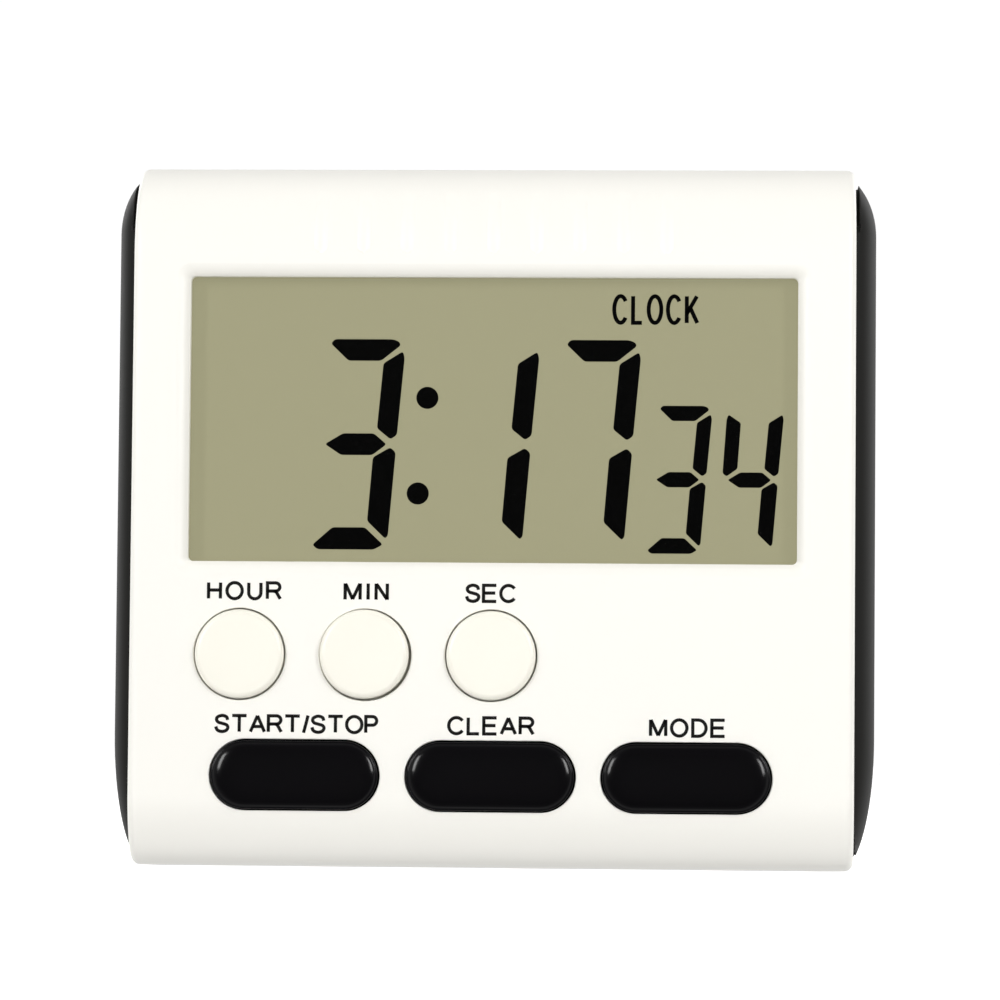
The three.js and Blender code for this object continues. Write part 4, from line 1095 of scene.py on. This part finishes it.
COVER_FRONT = 16.9
COVER_BACK = 17.95
RIBS = (45.8, 55.2)
SAW_CUTS = (47.1, 53.9)
GRIP_LINES = (14.6, 16.1, 17.6)
cover = add_mesh("cover_panel", *rounded_at(-27, 27, COVER_FRONT, COVER_BACK, 43.4, 57.6, 0.6))
for z in RIBS:
    combine(cover, box_at(-23.2, 21.2, 15.6, 17.1, z - 0.45, z + 0.45), "UNION")
for z in SAW_CUTS:
    combine(cover, box_at(20, 28, 15, OUT, z - 0.3, z + 0.3), "DIFFERENCE")
combine(cover, rounded_at(21.5, 24, 17.4, OUT, 47.9, 53.1, 0.8), "DIFFERENCE")
for x in GRIP_LINES:
    combine(cover, box_at(x, x + 0.5, 17.75, OUT, 48.2, 52.8), "DIFFERENCE")
soften(cover, 0.12 * MM)
dress(cover, charcoal, "battery_cover", "black_housing", "battery_cover")

# ------------------------------------------------------------
# Stand.
# A flat black foot that folds into the back, with a pin moulded at each side of its barrel. Its heel meets
# the recess and stops it when it is open. A sunk panel saves plastic and keeps it from warping.

STAND_HALF = 13.55
STAND_PIN_REACH = 1.65
STAND_FRONT = 15.8
STAND_BACK = 17.9
STAND_LOW = 4.6
BARREL_RADIUS = 1.05
PIN_RADIUS = 0.9
HEEL_RISE = 1.35
HEEL_AHEAD = 0.65
AXIS_DEPTH, AXIS_Z = STAND_AXIS
leaf = rounded_at(-STAND_HALF, STAND_HALF, STAND_FRONT, STAND_BACK, STAND_LOW, AXIS_Z, 1.5)
stand = add_mesh("stand_leaf", *leaf)
combine(stand, box_at(-STAND_HALF, STAND_HALF, STAND_FRONT, STAND_BACK, 21.1, AXIS_Z), "UNION")
combine(stand, rod_across(STAND_HALF, AXIS_DEPTH, AXIS_Z, BARREL_RADIUS, 40), "UNION")
heel = box_at(-STAND_HALF, STAND_HALF, AXIS_DEPTH - HEEL_AHEAD, STAND_BACK, AXIS_Z, AXIS_Z + HEEL_RISE)
combine(stand, heel, "UNION")
combine(stand, rod_across(STAND_HALF + STAND_PIN_REACH, AXIS_DEPTH, AXIS_Z, PIN_RADIUS), "UNION")
combine(stand, bar_at(0, 3.6, 4.5, 14, OUT, 64), "DIFFERENCE")
combine(stand, rounded_at(-11, 11, 17.45, OUT, 11, 34, 1.6), "DIFFERENCE")
soften(stand, 0.14 * MM)
dress(stand, charcoal, "stand", "black_housing", "stand")

# ------------------------------------------------------------
# Battery cell, contacts and spring.
# A size AAA cell in a printed sleeve lies across the bay, between a nickel-plated leaf and a conical coil
# spring.

CELL_DEPTH = 11.4
CELL_Z = 50.5
CELL_LEFT = -21.2
CELL_RIGHT = 23.2
# (x, radius) pairs from the flat end, along the sleeve, to the nub.
CELL_PROFILE = ((CELL_LEFT, 0.02), (CELL_LEFT, 3.9), (-21.05, 4.3), (-21.0, 4.75), (-21.15, 4.9),
                (-21.0, 5.12), (-20.8, 5.2), (21.9, 5.2), (22.15, 5.1), (22.3, 4.8), (22.15, 4.6),
                (22.1, 3.4), (22.2, 2.1), (22.3, 1.9), (23.0, 1.85), (CELL_RIGHT, 1.6), (CELL_RIGHT, 0.02))
cell_turns = [2 * math.pi * i / 64 for i in range(64)]
cell = add_mesh("cell_body", *skin([[about_x(x, CELL_DEPTH, CELL_Z, r, turn) for turn in cell_turns]
                                    for x, r in CELL_PROFILE]))
sleeve = moulded("printed_sleeve", (0.012, 0.012, 0.014), 0.28, grain=0.03, grain_size=0.4, coat=0.4)
wrap = sleeve.node_tree
wrap_place = wrap.nodes.new("ShaderNodeTexCoord")
wrap_axes = wrap.nodes.new("ShaderNodeSeparateXYZ")
bands = wrap.nodes.new("ShaderNodeValToRGB")
bands.color_ramp.interpolation = "CONSTANT"
bands.color_ramp.elements[0].color = (0.55, 0.55, 0.53, 1)
bands.color_ramp.elements[1].position = 0.012
bands.color_ramp.elements[1].color = (0.014, 0.014, 0.016, 1)
for position, colour in ((0.70, (0.80, 0.42, 0.14, 1)), (0.965, (0.55, 0.55, 0.53, 1))):
    band = bands.color_ramp.elements.new(position)
    band.color = colour
along_cell = wrap.nodes.new("ShaderNodeMapRange")
along_cell.inputs["From Min"].default_value = CELL_LEFT * MM
along_cell.inputs["From Max"].default_value = CELL_RIGHT * MM
wrap.links.new(wrap_place.outputs["Object"], wrap_axes.inputs["Vector"])
wrap.links.new(wrap_axes.outputs["X"], along_cell.inputs["Value"])
wrap.links.new(along_cell.outputs["Result"], bands.inputs["Fac"])
wrap.links.new(bands.outputs["Color"], wrap.nodes["Principled BSDF"].inputs["Base Color"])
dress(cell, sleeve, "case", "cell_wrap", "battery_cell")
finish_node("positive_contact", nickel, 0.05 * MM)
finish_node("negative_contact", nickel, 0.05 * MM)


def tube(name, route, radius, steps=14):
    """A round wire along a route of points, in metres."""
    rings = []
    side = Vector((0, 0, 1))
    for i, here in enumerate(route):
        ahead = (route[min(i + 1, len(route) - 1)] - route[max(i - 1, 0)]).normalized()
        side = (side - ahead * side.dot(ahead)).normalized()
        up = ahead.cross(side)
        turns = [2 * math.pi * k / steps for k in range(steps)]
        rings.append([tuple(here + radius * (math.cos(turn) * side + math.sin(turn) * up))
                      for turn in turns])
    return add_mesh(name, *skin(rings))


SPRING_WIRE = 0.32 * MM
SPRING_LEFT = -25.13
SPRING_RIGHT = -21.62
SPRING_FOOT = 3.9
SPRING_TIP = 2.4
SPRING_TURNS = 3.5
COIL_STEPS = 160
# The spring narrows from its foot on the contact to its tip on the cell.
coil = []
for step in range(COIL_STEPS + 1):
    t = step / COIL_STEPS
    x = SPRING_LEFT + (SPRING_RIGHT - SPRING_LEFT) * t
    radius = SPRING_FOOT + (SPRING_TIP - SPRING_FOOT) * t
    coil.append(Vector(about_x(x, CELL_DEPTH, CELL_Z, radius, 2 * math.pi * SPRING_TURNS * t)))
spring = tube("cone_spring", coil, SPRING_WIRE)
dress(spring, nickel, "case", "nickel_plate", "negative_spring")

# ------------------------------------------------------------
# Magnets.
# Two nickel-plated discs pressed into the back, with a small chamfer round each face.

# (radius, depth) pairs from the front face to the back face.
MAGNET_PROFILE = ((4.75, 15.85), (5.0, 16.05), (5.0, 17.75), (4.8, 17.95))
for name, (x, z) in zip(("magnet_left", "magnet_right"), MAGNETS):
    disc = add_mesh(f"{name}_disc", *skin([at_depth(round_outline(x * MM, z * MM, r * MM, 72), d * MM)
                                          for r, d in MAGNET_PROFILE]), smooth=False)
    dress(disc, nickel, "case", "nickel_plate", name)

# ------------------------------------------------------------
# Sounder.
# A brass disc with a thin silvered ceramic bonded to it, seated over its small chamber and holes.

finish_node("buzzer_disc", brass, 0.04 * MM)
finish_node("buzzer_ceramic", ceramic, 0.04 * MM)

# ------------------------------------------------------------
# Leads.
# Short PVC-covered wires, red and black, from the battery contacts and the sounder to the board.

red_pvc = moulded("red_pvc", (0.45, 0.025, 0.02), 0.42, grain=0.05, grain_size=0.2, tint=0.1)
black_pvc = moulded("black_pvc", (0.015, 0.015, 0.016), 0.42, grain=0.05, grain_size=0.2, tint=0.1)
for name, material in (("battery_lead_positive", red_pvc), ("battery_lead_negative", black_pvc),
                       ("buzzer_lead_live", red_pvc), ("buzzer_lead_return", black_pvc)):
    finish_node(name, material)
